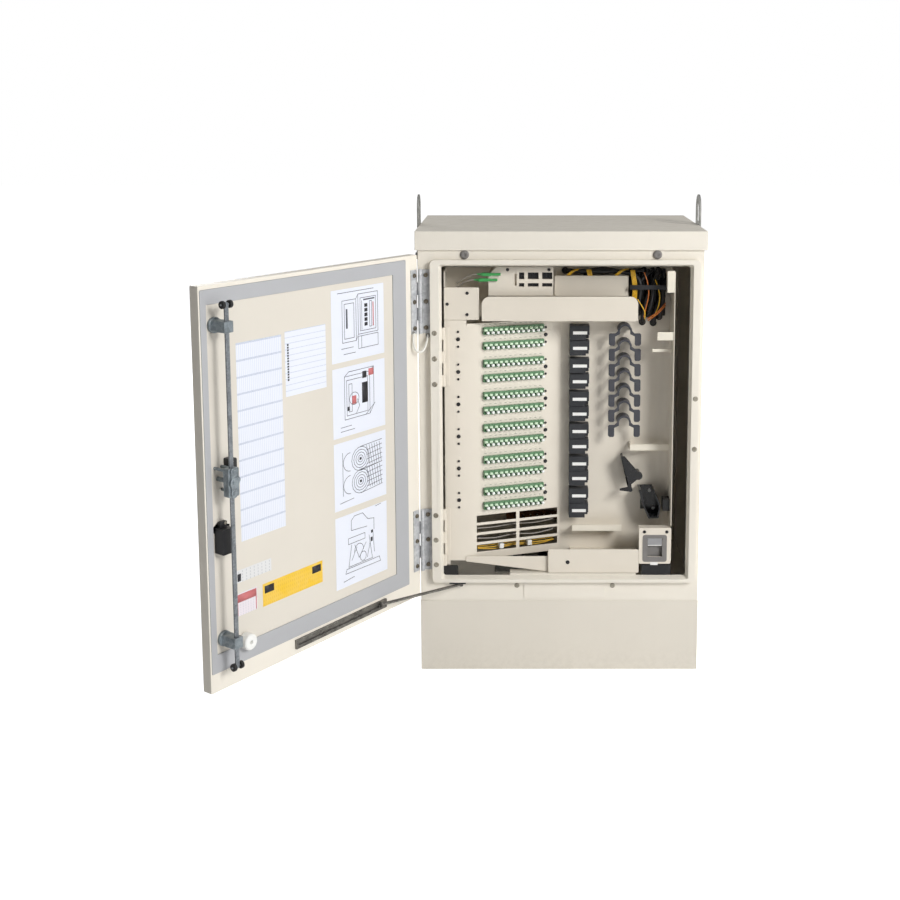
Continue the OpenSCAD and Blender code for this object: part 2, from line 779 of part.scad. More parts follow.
post_x = 9.5;
post_z = 25;
rod_slot = rod_w / 2 + pass_gap;

// fixed case round the drive disc, open at the top and foot for the rods
// it stands on three posts: a fourth one would be in the turning tongue's way
module latch_case() {
    x0 = latch_x - case_half_w;
    x1 = latch_x + case_half_w;
    color("#9ba1a4") on_face() difference() {
        union() {
            plate(x0, x1, hub_z - case_half_h, hub_z + case_half_h, case_h0, case_h1, 4);
            for (p = [[-1, 1], [1, 1], [-1, -1]])
                cyl_y(latch_x + p[0] * post_x, hub_z + p[1] * post_z, -skin_t, case_h0 + 1, 3.5);
        }
        plate(x0 + case_wall, x1 - case_wall, hub_z - case_half_h + case_wall,
            hub_z + case_half_h - case_wall,
            case_h0 + case_wall, case_h1 - case_wall, 2);
        box(latch_x - rod_slot, latch_x + rod_slot, rod_h0 - pass_gap, rod_h0 + rod_t + pass_gap,
            hub_z - case_half_h - 1, hub_z + case_half_h + 1);
        cyl_y(latch_x, hub_z, case_h0 - 1, case_h0 + case_wall + 1, spindle_r + pass_gap);
    }
}

// black inner ends of the outer handle's two fixings
module lock_mounts() {
    color("#1c1c1d") on_face() {
        difference() {
            plate(latch_x - 34, latch_x - 15.5, hub_z + 4, hub_z + 42, -skin_t, 20, 3);
            plate(latch_x - 30, latch_x - 19, hub_z + 10, hub_z + 24, 8, 21, 2);
        }
        plate(latch_x - 17, latch_x + 16, hub_z - 160, hub_z - 105, -skin_t, 24, 3);
        plate(latch_x - 12, latch_x + 8, hub_z - 105, hub_z - 92, -skin_t, 8, 2);
    }
}

module handle_plate() {
    h1 = -door_t;
    color("#2a2a2c") on_face() {
        difference() {
            plate(latch_x - 19, latch_x + 19, hub_z - handle_len - 24, hub_z + 26, h1 - handle_plate_t,
                h1, 12);
            cyl_y(latch_x, hub_z, h1 - handle_plate_t - 1, h1 + 1, spindle_r + pass_gap);
        }
        difference() {
            cyl_y(latch_x, hub_z - handle_len - 6, h1 - handle_plate_t - 2, h1 - handle_plate_t, 9);
            box(latch_x - 1, latch_x + 1, h1 - handle_plate_t - 3, h1 - handle_plate_t - 1,
                hub_z - handle_len - 11, hub_z - handle_len - 1);
        }
    }
}

bumper_r = 18;
bumper_h = 22;
bumper_x = door_x1 - 98;
bumper_z = 291;

module door_bumper() {
    color("#f2f2f0") on_face() difference() {
        union() {
            cyl_y(bumper_x, bumper_z, gasket_t - skin_t, bumper_h - 3, bumper_r);
            translate([bumper_x, bumper_h - 3, bumper_z]) rotate([-90, 0, 0])
                cylinder(h = 3, r1 = bumper_r, r2 = bumper_r - 3);
        }
        cyl_y(bumper_x, bumper_z, 12, bumper_h + 1, 4);
    }
}

card_t = 0.4;
// cards on the liner: distance of each side from the free edge, then heights
cards = [
    [99, 231, 513, 949], [241.5, 370, 806, 953],
    [389.5, 571, 855, 1026], [389.5, 571, 676, 842], [389.5, 571, 501, 664], [389.5, 571, 309, 485],
    [82, 183.5, 424, 452], [156, 344, 347, 399], [79.5, 139, 349, 400]
];

module door_cards() {
    color("#f1f3f8") on_face() for (c = cards)
        plate(door_x1 - c[1], door_x1 - c[0], c[2], c[3], -skin_t, -skin_t + card_t, 0);
}

// ---------------- latch ----------------
// handle head, spindle, tongue, disc and two drive pins turn as one
module latch_drive() {
    c = throw_r * cos(45);
    color("#a4aaad") on_face() translate([latch_x, 0, hub_z]) {
        cyl_y(0, 0, -door_t - handle_plate_t - 1, case_h0 + case_wall + pass_gap + drive_t, spindle_r);
        cyl_y(0, 0, tongue_h0, tongue_h1, 9);
        along_y(tongue_h0, tongue_h1) polygon([[-8, 0], [-5.5, -tongue_len + 4], [-2, -tongue_len], [2,
            -tongue_len],
            [5.5, -tongue_len + 4], [8, 0]]);
        cyl_y(0, 0, case_h0 + case_wall + pass_gap, case_h0 + case_wall + pass_gap + drive_t, drive_r);
        for (s = [-1, 1]) cyl_y(s * c, -s * c, case_h0 + case_wall + pass_gap + drive_t - 1,
            rod_h0 + rod_t + 0.5, drive_pin_r);
        difference() {
            cyl_y(0, 0, head_h0, -door_t - handle_plate_t - pass_gap, 12);
            box(-13, 13, head_h0 - 1, -door_t - 7, -4 - pass_gap, 4 + pass_gap);
        }
        cyl_z(0, lever_pin_h, -11, 11, lever_pin_r);
    }
}

module handle_lever() {
    color("#232325") on_face() translate([latch_x, lever_pin_h, hub_z]) difference() {
        union() {
            cyl_z(0, 0, -4, 4, 6.3);
            box(-16, 0, -5, 5, -4, 4);
            along_y(-6, 7) {
                translate([-handle_len + lever_half_w, 0]) circle(lever_half_w);
                translate([-handle_len + lever_half_w, -lever_half_w])
                    square([handle_len - lever_half_w - 15, 2 * lever_half_w]);
            }
        }
        cyl_z(0, 0, -5, 5, lever_pin_r + run_gap);
        cyl_y(-handle_len + 13, 0, -7, 8, 4);
    }
}

yoke_out = 12.5;
yoke_in = spindle_r + 0.4;
yoke_slot = drive_pin_r + 0.7;

// one rod drawn above the hub: bar, side leg with its slot, roller axle; s: which side the leg is on
module rod(z_end, s) {
    c = throw_r * cos(45);
    foot = 12;
    foot_t = 4;
    reach = c + yoke_slot + 2;
    along_y(rod_h0, rod_h0 + rod_t) difference() {
        union() {
            translate([-rod_w / 2, foot]) square([rod_w, z_end - foot]);
            translate([0, z_end]) circle(rod_w / 2);
            translate([s > 0 ? -rod_w / 2 : -yoke_out, foot]) square([yoke_out + rod_w / 2, foot_t]);
            translate([s > 0 ? yoke_in : -yoke_out, -reach]) square([yoke_out - yoke_in, reach + foot + 1]);
        }
        translate([s > 0 ? yoke_in - 1 : -yoke_out + 0.8, -c - yoke_slot])
            square([yoke_out - yoke_in + 0.2, 2 * yoke_slot]);
    }
    cyl_x(rod_mid, z_end, -roller_x - roller_w / 2 - 1.5, roller_x + roller_w / 2 + 1.5, axle_r);
}

module rod_upper() {
    color("#8e9497") on_face() translate([latch_x, 0, hub_z]) rod(roller_top_z - hub_z, 1);
}

module rod_lower() {
    color("#8e9497") on_face() translate([latch_x, 0, hub_z]) mirror([1, 0, 0]) mirror([0, 0, 1])
        rod(hub_z - roller_low_z, 1);
}

module roller_pair(z) {
    color("#1a1a1a") on_face() for (s = [-1, 1]) difference() {
        cyl_x(rod_mid, z, latch_x + s * roller_x - roller_w / 2, latch_x + s * roller_x + roller_w / 2,
            roller_r);
        cyl_x(rod_mid, z, latch_x - 20, latch_x + 20, axle_r + run_gap);
    }
}

module rollers_upper() {
    roller_pair(roller_top_z);
}

module rollers_lower() {
    roller_pair(roller_low_z);
}

// ---------------- chassis ----------------
// on the leaning panel: x along the panel, y = 0 its front face
module on_panel() {
    at_front() translate([fold_x, ch_y0, 0]) rotate([0, 0, panel_lean]) children();
}

side_x = ch_x1 - tray_t;
wall_y0 = 8;
corner_z = 869;

// plan of the folded sheet: flange, leaning panel, back, bend and side wall
module tray_plan() {
    shift = tray_t * tan(panel_lean / 2);
    bend_x = side_x - bend_r;
    bend_y = ch_back - bend_r;
    polygon([[ch_x0, ch_y0], [fold_x, ch_y0], [panel_end_x, ch_back], [bend_x, ch_back], [bend_x,
        ch_back + tray_t],
        [panel_end_x - shift, ch_back + tray_t], [fold_x - shift, ch_y0 + tray_t], [ch_x0, ch_y0 + tray_t]]);
    intersection() {
        translate([bend_x, bend_y]) difference() {
            circle(bend_r + tray_t);
            circle(bend_r);
        }
        translate([bend_x, bend_y]) square(bend_r + 2 * tray_t);
    }
    translate([side_x, wall_y0]) square([tray_t, bend_y - wall_y0]);
}

slot_t = [[25, 132], [141, 246]];
slot_z = [307, 333, 359, 385];

module chassis_tray() {
    color("#e6dcc6") difference() {
        union() {
            at_front() along_z(panel_z0, corner_z) tray_plan();
            at_front() {
                // back plate above the bend, its free corner rounded
                intersection() {
                    along_z(corner_z, back_z1) tray_plan();
                    box(ch_x0 - 1, side_x - bend_r, 0, ch_back + 20, corner_z, back_z1);
                    plate(ch_x0 - 100, side_x - bend_r, corner_z - 100, back_z1, 0, ch_back + 20,
                        back_z1 - corner_z);
                }
                // upper frame: left wall, right wall and back
                box(ch_x0, ch_x0 + tray_t, ch_y0, ch_back + 2 * tray_t, back_z1, ch_z1);
                box(ch_x0, fold_x, ch_y0, ch_y0 + tray_t, corner_z, ch_z1 - 50);
                box(side_x, ch_x1, wall_y0, ch_back + 2 * tray_t, corner_z, ch_z1);
                box(ch_x0, ch_x1, ch_back + tray_t, ch_back + 2 * tray_t, corner_z - 20, ch_z1);
            }
            on_panel() box(1, panel_len - 1, 0, tray_t, back_z1 - 1, panel_z1);
        }
        on_panel() {
            for (t = slot_t, z = slot_z) box(t[0], t[1], -1, tray_t + 1, z, z + 19);
            for (m = [0:modules - 1], k = [0, 1]) {
                z = row_z0 + m * row_pitch + k * row_step;
                box(row_t0 + 1, row_t0 + row_count * adapter_w - 1, -1, tray_t + 1, z + 1, z + row_h - 1);
            }
        }
    }
}

// one row: a green body through the panel with a port for every connector
module adapter_row(z) {
    row_w = row_count * adapter_w;
    difference() {
        union() {
            box(row_t0, row_t0 + row_w, -9, 0, z, z + row_h);
            box(row_t0 + 1.2, row_t0 + row_w - 1.2, 0, 14, z + 1.2, z + row_h - 1.2);
        }
        for (i = [0:row_count - 1]) {
            t = row_t0 + i * adapter_w;
            box(t + 1.6, t + adapter_w - 1.6, -10, -3, z + 2, z + row_h - 6);
            box(t + 2.8, t + adapter_w - 2.8, 8, 15, z + 4, z + row_h - 5);
            box(t - 0.25, t + 0.25, -10, -8, z - 1, z + row_h + 1);
        }
    }
}

module adapters() {
    color("#3f8f6c") on_panel() for (m = [0:modules - 1], k = [0, 1])
        adapter_row(row_z0 + m * row_pitch + k * row_step);
}

module panel_screws() {
    color("#3a3a3a") {
        for (m = [0:modules - 1]) {
            z = row_z0 + 28.6 + m * row_pitch;
            at_front() for (dz = [-19, 0, 19]) head_front(fold_x - 21, z + dz, ch_y0, dz == 0 ? 5 : 3, 3);
            on_panel() for (dz = [-19, 0, 19]) head_front(212, z + dz, 0, dz == 0 ? 5 : 3, 3);
        }
        at_front() {
            for (p = [[-233.5, 983.6], [-283.4, 956], [-234, 929.4]]) head_front(p[0], p[1], ch_y0 - 4, 4,
                2.5);
            for (x = [217, 274]) head_front(x, 368, plate_y, 4, 2.5);
            for (x = [-133, -29]) head_front(x, 1040, module_y, 4, 2.5);
            head_front(21, 287, trough_y + 2, 5, 2.5);
        }
    }
}

retainer_x0 = 26;
retainer_x1 = 76;
retainer_y = 66;
retainer_z = [404, 443.5, 490, 529, 575, 615, 661, 700, 746, 787, 833, 873];

retainer_half = 19;
retainer_wall = 3;
retainer_notch = 9;

// black boxes on the back plate, each open at its lower right corner for the fibres
module fibre_retainers() {
    h = retainer_half;
    w = retainer_wall;
    y1 = retainer_y + w;
    color("#26272b") at_front() for (z = retainer_z) {
        box(retainer_x0, retainer_x1, ch_back - w, ch_back, z - h, z + h);
        box(retainer_x0, retainer_x0 + w, retainer_y, ch_back - w, z - h, z + h);
        box(retainer_x0, retainer_x1, retainer_y, ch_back - w, z + h - w, z + h);
        box(retainer_x0, retainer_x1, retainer_y, y1, z - 5, z + h - w);
        box(retainer_x0, retainer_x1 - retainer_notch, retainer_y, y1, z - h, z - 5);
    }
}

module retainer_labels() {
    color("#f4f4f2") at_front() for (z = retainer_z)
        box(retainer_x0 + 8, retainer_x1 - 6, retainer_y - 0.5, retainer_y, z - 4, z + 4);
}

spool_x = 166;
spool_y0 = 58;
spool_count = 7;
spool_pitch = 39.8;
spool_top = 897;

spool_r = 18;
spool_wall = 5;
spool_lip = 4;

// half-round arch
module spool_dome() {
    difference() {
        intersection() {
            circle(spool_r);
            translate([-spool_r, 0]) square([2 * spool_r, spool_r]);
        }
        circle(spool_r - spool_wall);
    }
}

// shoulder and hanging foot on one side of the arch
module spool_foot() {
    polygon([[spool_r - spool_wall, 0], [spool_r, 0], [24, -6], [38, -6], [41, -9], [41, -34], [37, -38],
        [27, -38], [25, -34], [25, -14], [spool_r - spool_wall, -8]]);
}

module slack_spools() {
    color("#3a3b42") at_front() for (i = [0:spool_count - 1])
        translate([spool_x, 0, spool_top - spool_r - i * spool_pitch]) {
            along_y(spool_y0, spool_y0 + spool_lip) {
                spool_dome();
                for (m = [0, 1]) mirror([m, 0, 0]) spool_foot();
            }
            along_y(spool_y0 + spool_lip, ch_back) spool_dome();
        }
}

guide_y = 52;

// upper guide: a saddle with a round lobe and a foot; lower guide: an open trough; a block at the side wall
module bend_guides() {
    trough = [[205, 466], [244, 466], [263, 422], [257, 390], [231, 390], [216, 422]];
    pocket = [[211, 468], [240, 468], [258, 421], [253, 394], [234, 394], [221, 421]];
    color("#1b1b1d") at_front() {
        along_y(guide_y, guide_y + 4) {
            polygon([[158, 552], [168, 553], [203, 512], [200, 490], [186, 478], [190, 462], [186, 458],
                [156, 462], [157, 467], [176, 471], [178, 480]]);
            translate([204, 501]) circle(11);
        }
        along_y(guide_y + 4, ch_back) polygon([[160, 548], [165, 550], [184, 480], [179, 479]]);
        along_y(guide_y + 4, ch_back) translate([204, 501]) circle(7);
        difference() {
            along_y(guide_y - 8, ch_back - 3) polygon(trough);
            along_y(guide_y - 9, ch_back - 8) polygon(pocket);
        }
        box(214, 248, ch_back - 3, ch_back, 400, 460);
        box(266, side_x, ch_back - bend_r - 30, ch_back - bend_r, 413, 444);
    }
}

// cream tabs and fingers that stand out of the tray
module fibre_fingers() {
    color("#efe9da") at_front() {
        box(182, side_x, ch_back - 36, ch_back - 33, 566, 582);
        box(182, 186, ch_back - 33, ch_back, 566, 582);
        box(34, 162, ch_back - 40, ch_back, 352, 355);
        box(34, 162, ch_back - 40, ch_back - 37, 355, 368);
        box(243, side_x, wall_y0 + 2, wall_y0 + 4, 864, 885);
        box(234, side_x, ch_back - 60, ch_back - 57, 829, 837);
        box(266, side_x, wall_y0, wall_y0 + 20, 995, ch_z1 + 2);
        box(266, side_x, wall_y0, wall_y0 + 3, 985, 995);
    }
}

module_y = 30;
module_x0 = -181;
module_x1 = -18;
module_z0 = 974;
module_z1 = 1047;

// splitter cassette
module splitter_module() {
    color("#e9e2d0") at_front() difference() {
        box(module_x0, module_x1, module_y, ch_back + tray_t, module_z0, module_z1);
        translate([module_x0, 0, module_z1]) rotate([0, 45, 0]) cube([28, 500, 28], center = true);
        for (w = [[-104, -91], [-82, -55], [-46, -20.5]]) {
            box(w[0], w[1], module_y - 1, module_y + 12, 1016, 1033);
            box(w[0], w[1], module_y - 1, module_y + 12, 997, 1006);
        }
        box(-115, -110, module_y - 1, module_y + 12, 1000, 1030);
    }
}

module splitter_tray() {
    color("#ded6c2") at_front() {
        plate(-14, 173, 969, 1021, 60, 62, 4);
        box(-14, 173, 62, ch_back, 969, 971);
        box(-14, 173, ch_back - 2, ch_back + tray_t, 969, 990);
    }
}

module top_corner_plate() {
    color("#efe8d8") at_front() {
        plate(ch_x0, fold_x + 32, 916, 998, ch_y0 - 4, ch_y0 - 2, 3);
        box(ch_x0 + 4, fold_x - 4, ch_y0 - 2, ch_y0, 940, 984);
    }
}

trough_y = 2;

module fibre_troughs() {
    color("#efe8d8") at_front() {
        difference() {
            plate(-197, 193, 896, 976, trough_y, trough_y + 2, 20);
            box(-198, 194, trough_y - 1, trough_y + 3, 895, 914);
        }
        box(-197, 193, trough_y + 2, ch_back + tray_t, 914, 916);
        plate(-29, 203, ch_z0, 321, trough_y + 2, trough_y + 4, 4);
        box(-29, 203, trough_y + 4, 60, ch_z0, ch_z0 + 2);
        box(-29, 203, 58, 60, ch_z0 + 2, panel_z0 + 6);
        box(30, 203, 60, ch_back, panel_z0 + 4, panel_z0 + 6);
        along_y(ch_y0 - 2, ch_y0) polygon([[fold_x - 4, panel_z0 + 12], [fold_x - 4, panel_z0 - 2], [-25,
            ch_z0],
            [-25, panel_z0 + 12]]);
    }
}

// ---------------- chassis latch ----------------
plate_y = 3;
latch_x0 = 203;
paddle_x0 = 225;
paddle_x1 = 262;
paddle_y = 8;
paddle_z = 347;
paddle_pin = 1.5;
bolt_x = 244;
bolt_y0 = 14;
bolt_y1 = 20;

// front plate with a finger recess, two ears for the paddle and a guide for the bolt
module latch_plate() {
    z0 = keeper_z1 + 2.5;
    color("#ded8cc") at_front() difference() {
        union() {
            plate(latch_x0, side_x, z0, 378, plate_y, plate_y + 2, 3);
            box(latch_x0, side_x, plate_y + 2, 26, 376, 378);
            box(side_x - 2, side_x, plate_y + 2, 40, z0 + 3, 376);
            box(paddle_x0 - 9, paddle_x1 + 9, plate_y + 2, plate_y + 4, z0 + 8, 361);
            for (x = [paddle_x0 - 4, paddle_x1 + 1]) box(x, x + 3, plate_y + 2, 13, 336, 353);
            box(bolt_x - 9, bolt_x + 9, plate_y + 2, bolt_y1 + 4, z0 + 3, z0 + 14);
        }
        box(paddle_x0 - 1, paddle_x1 + 1, plate_y - 1, plate_y + 5, 302, 351.5);
        box(bolt_x - 4 - pass_gap, bolt_x + 4 + pass_gap, bolt_y0 - pass_gap, bolt_y1 + pass_gap, z0 - 1,
            z0 + 15);
        cyl_x(paddle_y, paddle_z, paddle_x0 - 10, paddle_x1 + 10, paddle_pin);
    }
}

module latch_paddle() {
    color("#cfcabf") at_front() {
        box(paddle_x0, paddle_x1, plate_y + 0.5, plate_y + 3, 331, 350.5);
        box(paddle_x0, paddle_x1, plate_y + 3, paddle_y + 3, paddle_z - 3, paddle_z + 3);
        box(bolt_x - 4, bolt_x + 4, plate_y + 3, 12, 333, 338);
        cyl_x(paddle_y, paddle_z, paddle_x0 - 4, paddle_x1 + 4, paddle_pin - run_gap);
    }
}

// spring bolt, its top sloping under the paddle's nose
module latch_bolt() {
    z0 = keeper_z1 + 1.5;
    color("#8f9294") at_front() translate([bolt_x - 4, 0, 0]) rotate([90, 0, 90]) linear_extrude(8)
        polygon([[bolt_y0, z0], [bolt_y1, z0], [bolt_y1, 340.4], [bolt_y0, 334.4]]);
}

// ---------------- cables ----------------
module cable_bundles() {
    color("#1c1c1e") at_front() {
        y = ch_back + tray_t;
        tube([[64, y - 20, 1008], [72, y - 12, 1026], [110, y - 7, 1033], [160, y - 7, 1027], [215, y - 7,
            1030]], 6, 30);
        tube([[182, y - 8, 924], [186, y - 14, 950], [193, y - 22, 985], [212, y - 18, 1012], [236, y - 8,
            1028]], 7, 22);
        tube([[214, y - 8, 905], [216, y - 16, 935], [224, y - 20, 970], [240, y - 12, 998], [262, y - 8,
            1018]], 7, 22);
        tube([[242, y - 7, 903], [246, y - 14, 935], [258, y - 14, 965], [272, y - 7, 992]], 6, 20);
    }
}

module fibre_connectors() {
    y0 = module_y - 9;
    color("#3f9c5c") at_front() for (i = [0, 1]) {
        x = -206 + i * 8;
        z = 1011 + i * 14;
        box(x, x + 24, y0, module_y, z, z + 8);
        box(x + 24, x + 48, y0 + 1.5, module_y, z + 1, z + 7);
        tube([[x, y0 + 4.5, z + 4], [x - 20, y0 + 8, z + 3], [x - 40, y0 + 16, z - 6], [-266, 55,
            z - 24]], 2, 14);
    }
}

plinth();
body_shell();
opening_lip();
roof_cap();
roof_plugs();
lifting_eyes();
eye_bolts();
base_cover();
frame_bolts();
sill_angle();
roller_keepers();
gland_plate();
cable_glands();
ground_bar();
hinge_leaves_fixed();
hinge_pins();
hinge_bolts_fixed();
chassis_hinges_fixed();
chassis_keeper();
corner_block();
stay_bracket();
ground_strap();
door_skin();
door_liner();
door_gasket();
hinge_leaves_moving();
hinge_bolts_moving();
stay_track();
rod_guides();
latch_case();
lock_mounts();
handle_plate();
door_bumper();
door_cards();
stay_slider();
stay_arm();
latch_drive();
handle_lever();
rod_upper();
rod_lower();
rollers_upper();
rollers_lower();
chassis_tray();
chassis_hinges_moving();
adapters();
panel_screws();
fibre_retainers();
retainer_labels();
slack_spools();
bend_guides();
fibre_fingers();
splitter_module();
splitter_tray();
top_corner_plate();
fibre_troughs();
latch_plate();
latch_paddle();
latch_bolt();
cable_bundles();
fibre_connectors();
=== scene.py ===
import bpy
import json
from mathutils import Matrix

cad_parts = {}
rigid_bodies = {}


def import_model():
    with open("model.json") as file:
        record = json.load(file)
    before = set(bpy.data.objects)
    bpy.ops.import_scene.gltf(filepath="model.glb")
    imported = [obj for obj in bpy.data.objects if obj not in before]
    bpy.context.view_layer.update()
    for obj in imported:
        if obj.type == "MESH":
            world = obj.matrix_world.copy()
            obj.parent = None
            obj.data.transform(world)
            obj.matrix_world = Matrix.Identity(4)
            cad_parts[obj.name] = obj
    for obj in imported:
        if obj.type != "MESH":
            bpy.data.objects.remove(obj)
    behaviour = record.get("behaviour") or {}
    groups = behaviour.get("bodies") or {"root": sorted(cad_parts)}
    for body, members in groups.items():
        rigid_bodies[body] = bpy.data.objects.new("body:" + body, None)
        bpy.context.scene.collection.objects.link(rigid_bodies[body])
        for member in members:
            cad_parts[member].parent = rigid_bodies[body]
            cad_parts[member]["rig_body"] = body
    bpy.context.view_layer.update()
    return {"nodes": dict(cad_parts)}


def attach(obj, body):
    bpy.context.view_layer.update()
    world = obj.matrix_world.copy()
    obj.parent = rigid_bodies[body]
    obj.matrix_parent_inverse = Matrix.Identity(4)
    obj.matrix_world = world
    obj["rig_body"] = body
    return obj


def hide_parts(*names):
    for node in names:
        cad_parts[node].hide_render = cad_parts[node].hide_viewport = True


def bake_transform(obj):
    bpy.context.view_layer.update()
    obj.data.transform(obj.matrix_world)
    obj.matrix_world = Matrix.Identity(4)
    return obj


bl_info = {
    "name": "Roadside fibre cabinet",
    "version": (1, 0, 0),
    "blender": (4, 5, 0),
    "location": "3D View > Sidebar > Cabinet",
    "description": "Finishes the packed frame of a fibre distribution cabinet: coats, cards, caps and cables",
    "category": "Object",
}

import json
import math

import bmesh
import bpy
from bpy.props import FloatProperty, FloatVectorProperty, IntProperty, PointerProperty
from mathutils import Matrix, Vector

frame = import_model()

# ---- places repeated from the model, in metres ----
MM = 0.001
FRONT = -0.230
HINGE = Vector((-0.3495, FRONT - 0.010, 0.0))
DOOR_OPEN = math.radians(125.5)
DOOR_INNER = -0.010
DOOR_EDGE = 0.694
FOLD = Vector((-0.236, FRONT + 0.014, 0.0))
PANEL_LEAN = math.radians(19.0)
BACK_PLATE = FRONT + 0.097
TUBE_WALL = FRONT + 0.099
LATCH_X = 0.654
HUB_Z = 0.668
CASE_TOP = 0.0455
FIRST_ROW, MODULE_PITCH, HALF_PITCH = 0.420, 0.0835, 0.0383
ROWS = [FIRST_ROW + module * MODULE_PITCH + half * HALF_PITCH for module in range(6) for half in (0, 1)]
ROW_START = 0.043
ROW_HEIGHT = 0.019
ADAPTER = 0.0135
ROW_COUNT = 12

DOOR = (Matrix.Translation(HINGE) @ Matrix.Rotation(-DOOR_OPEN, 4, "Z")
        @ Matrix.Translation((0, DOOR_INNER, 0)))
PANEL = Matrix.Translation(FOLD) @ Matrix.Rotation(PANEL_LEAN, 4, "Z")


def sheet(r, g, b):
    """A paint chip's 0 to 255 values as scene-linear red, green, blue and alpha."""
    def linear(c):
        c /= 255.0
        return c / 12.92 if c <= 0.04045 else ((c + 0.055) / 1.055) ** 2.4
    return (linear(r), linear(g), linear(b), 1.0)


# ---------------------------------------------------------------- settings
def length(name, description, default, low, high):
    return FloatProperty(name=name, description=description, default=default, min=low, max=high,
                         unit="LENGTH", subtype="DISTANCE", precision=5)


def colour(name, description, chip):
    return FloatVectorProperty(name=name, description=description, default=sheet(*chip)[:3], min=0.0, max=1.0,
                               size=3, subtype="COLOR")


class CabinetSizes(bpy.types.PropertyGroup):
    edge: length("Edge radius", "Rounding of a folded sheet edge", 0.0010, 0.0002, 0.002)
    cap_width: length("Cap width", "Width of a white dust cap", 0.0072, 0.004, 0.009)
    cap_reach: length("Cap reach", "How far a dust cap stands out of its port", 0.0075, 0.003, 0.012)
    fibre: length("Fibre diameter", "Diameter of a jacketed fibre", 0.0028, 0.001, 0.004)
    strap: length("Strap diameter", "Diameter of the ground strap", 0.0056, 0.003, 0.006)
    line: length("Print line", "Width of a printed line on a card", 0.0014, 0.0003, 0.002)
    grid_columns: IntProperty(name="Card columns", description="Columns on the large table card", default=24,
                              min=4, max=48)


class CabinetColours(bpy.types.PropertyGroup):
    coat: colour("Coat", "Powder coat of the enclosure", (234, 228, 216))
    liner: colour("Door liner", "Warm coat inside the door", (219, 213, 202))
    chassis: colour("Chassis", "Coat of the swing-out chassis", (226, 218, 204))
    gasket: colour("Gasket", "Foam round the door", (176, 177, 180))
    green: colour("Adapter green", "Moulded adapters", (90, 132, 94))
    # The pale green of the adapters' upper faces is a painted highlight on the green moulding.
    pale_green: colour("Pale green", "Front face of an adapter", (204, 230, 198))
    zinc: colour("Zinc", "Cast latch parts", (166, 176, 182))
    steel: colour("Plated steel", "Hinges, stay and small parts", (214, 215, 216))
    black: colour("Black", "Moulded black parts", (30, 30, 33))
    yellow: colour("Yellow fibre", "Jacket of the yellow fibres", (226, 178, 40))
    card: colour("Card", "Laminated cards on the door", (229, 233, 244))


# ---------------------------------------------------------------- shader groups
def shader_group(name, inputs, outputs):
    """A new node group with these sockets: inputs are (name, kind, default), outputs (name, kind)."""
    tree = bpy.data.node_groups.new(name, "ShaderNodeTree")
    for label, kind, value in inputs:
        socket = tree.interface.new_socket(name=label, in_out="INPUT", socket_type=kind)
        socket.default_value = value
    for label, kind in outputs:
        tree.interface.new_socket(name=label, in_out="OUTPUT", socket_type=kind)
    return tree, tree.nodes.new("NodeGroupInput"), tree.nodes.new("NodeGroupOutput")


FLOAT, COLOR, VECTOR = "NodeSocketFloat", "NodeSocketColor", "NodeSocketVector"
SKIN_OUTPUTS = [("Color", COLOR), ("Roughness", FLOAT), ("Normal", VECTOR)]


def math_node(tree, operation, first, second=None, third=None, clamp=False):
    node = tree.nodes.new("ShaderNodeMath")
    node.operation = operation
    node.use_clamp = clamp
    for socket, value in zip(node.inputs, (first, second, third)):
        if value is None:
            continue
        if isinstance(value, (int, float)):
            socket.default_value = value
        else:
            tree.links.new(value, socket)
    return node.outputs[0]


def times(tree, first, second):
    return math_node(tree, "MULTIPLY", first, second)


def plus(tree, first, second):
    return math_node(tree, "ADD", first, second)


def noise(tree, vector, scale, detail=3.0, roughness=0.55):
    node = tree.nodes.new("ShaderNodeTexNoise")
    node.inputs["Detail"].default_value = detail
    node.inputs["Roughness"].default_value = roughness
    if isinstance(scale, (int, float)):
        node.inputs["Scale"].default_value = scale
    else:
        tree.links.new(scale, node.inputs["Scale"])
    tree.links.new(vector, node.inputs["Vector"])
    return node.outputs["Fac"]


def stretched(tree, scale):
    """Object coordinates scaled unevenly, for streaks and brushing."""
    coordinates = tree.nodes.new("ShaderNodeTexCoord")
    mapping = tree.nodes.new("ShaderNodeMapping")
    mapping.inputs["Scale"].default_value = scale
    tree.links.new(coordinates.outputs["Object"], mapping.inputs["Vector"])
    return mapping.outputs["Vector"]


def spread(tree, value, low, high, to_low=0.0, to_high=1.0):
    node = tree.nodes.new("ShaderNodeMapRange")
    node.inputs["From Min"].default_value = low
    node.inputs["From Max"].default_value = high
    node.inputs["To Min"].default_value = to_low
    node.inputs["To Max"].default_value = to_high
    tree.links.new(value, node.inputs["Value"])
    return node.outputs["Result"]


def mixed(tree, factor, first, second):
    node = tree.nodes.new("ShaderNodeMix")
    node.data_type = "RGBA"
    for socket, value in ((node.inputs["Factor"], factor), (node.inputs[6], first), (node.inputs[7], second)):
        if isinstance(value, (int, float, tuple)):
            socket.default_value = value
        else:
            tree.links.new(value, socket)
    return node.outputs[2]


def upward(tree):
    """The upward part of the surface's normal, for dust on what faces up."""
    geometry = tree.nodes.new("ShaderNodeNewGeometry")
    split = tree.nodes.new("ShaderNodeSeparateXYZ")
    tree.links.new(geometry.outputs["Normal"], split.inputs[0])
    return split.outputs["Z"]


def bump(tree, height, distance, strength=1.0):
    node = tree.nodes.new("ShaderNodeBump")
    node.inputs["Strength"].default_value = strength
    if isinstance(distance, (int, float)):
        node.inputs["Distance"].default_value = distance
    else:
        tree.links.new(distance, node.inputs["Distance"])
    tree.links.new(height, node.inputs["Height"])
    return node.outputs["Normal"]


SPLASH_HEIGHT = 0.11
LEDGE_DUST, RUN_DIRT, SPLASH_DIRT = 0.16, 0.035, 0.30


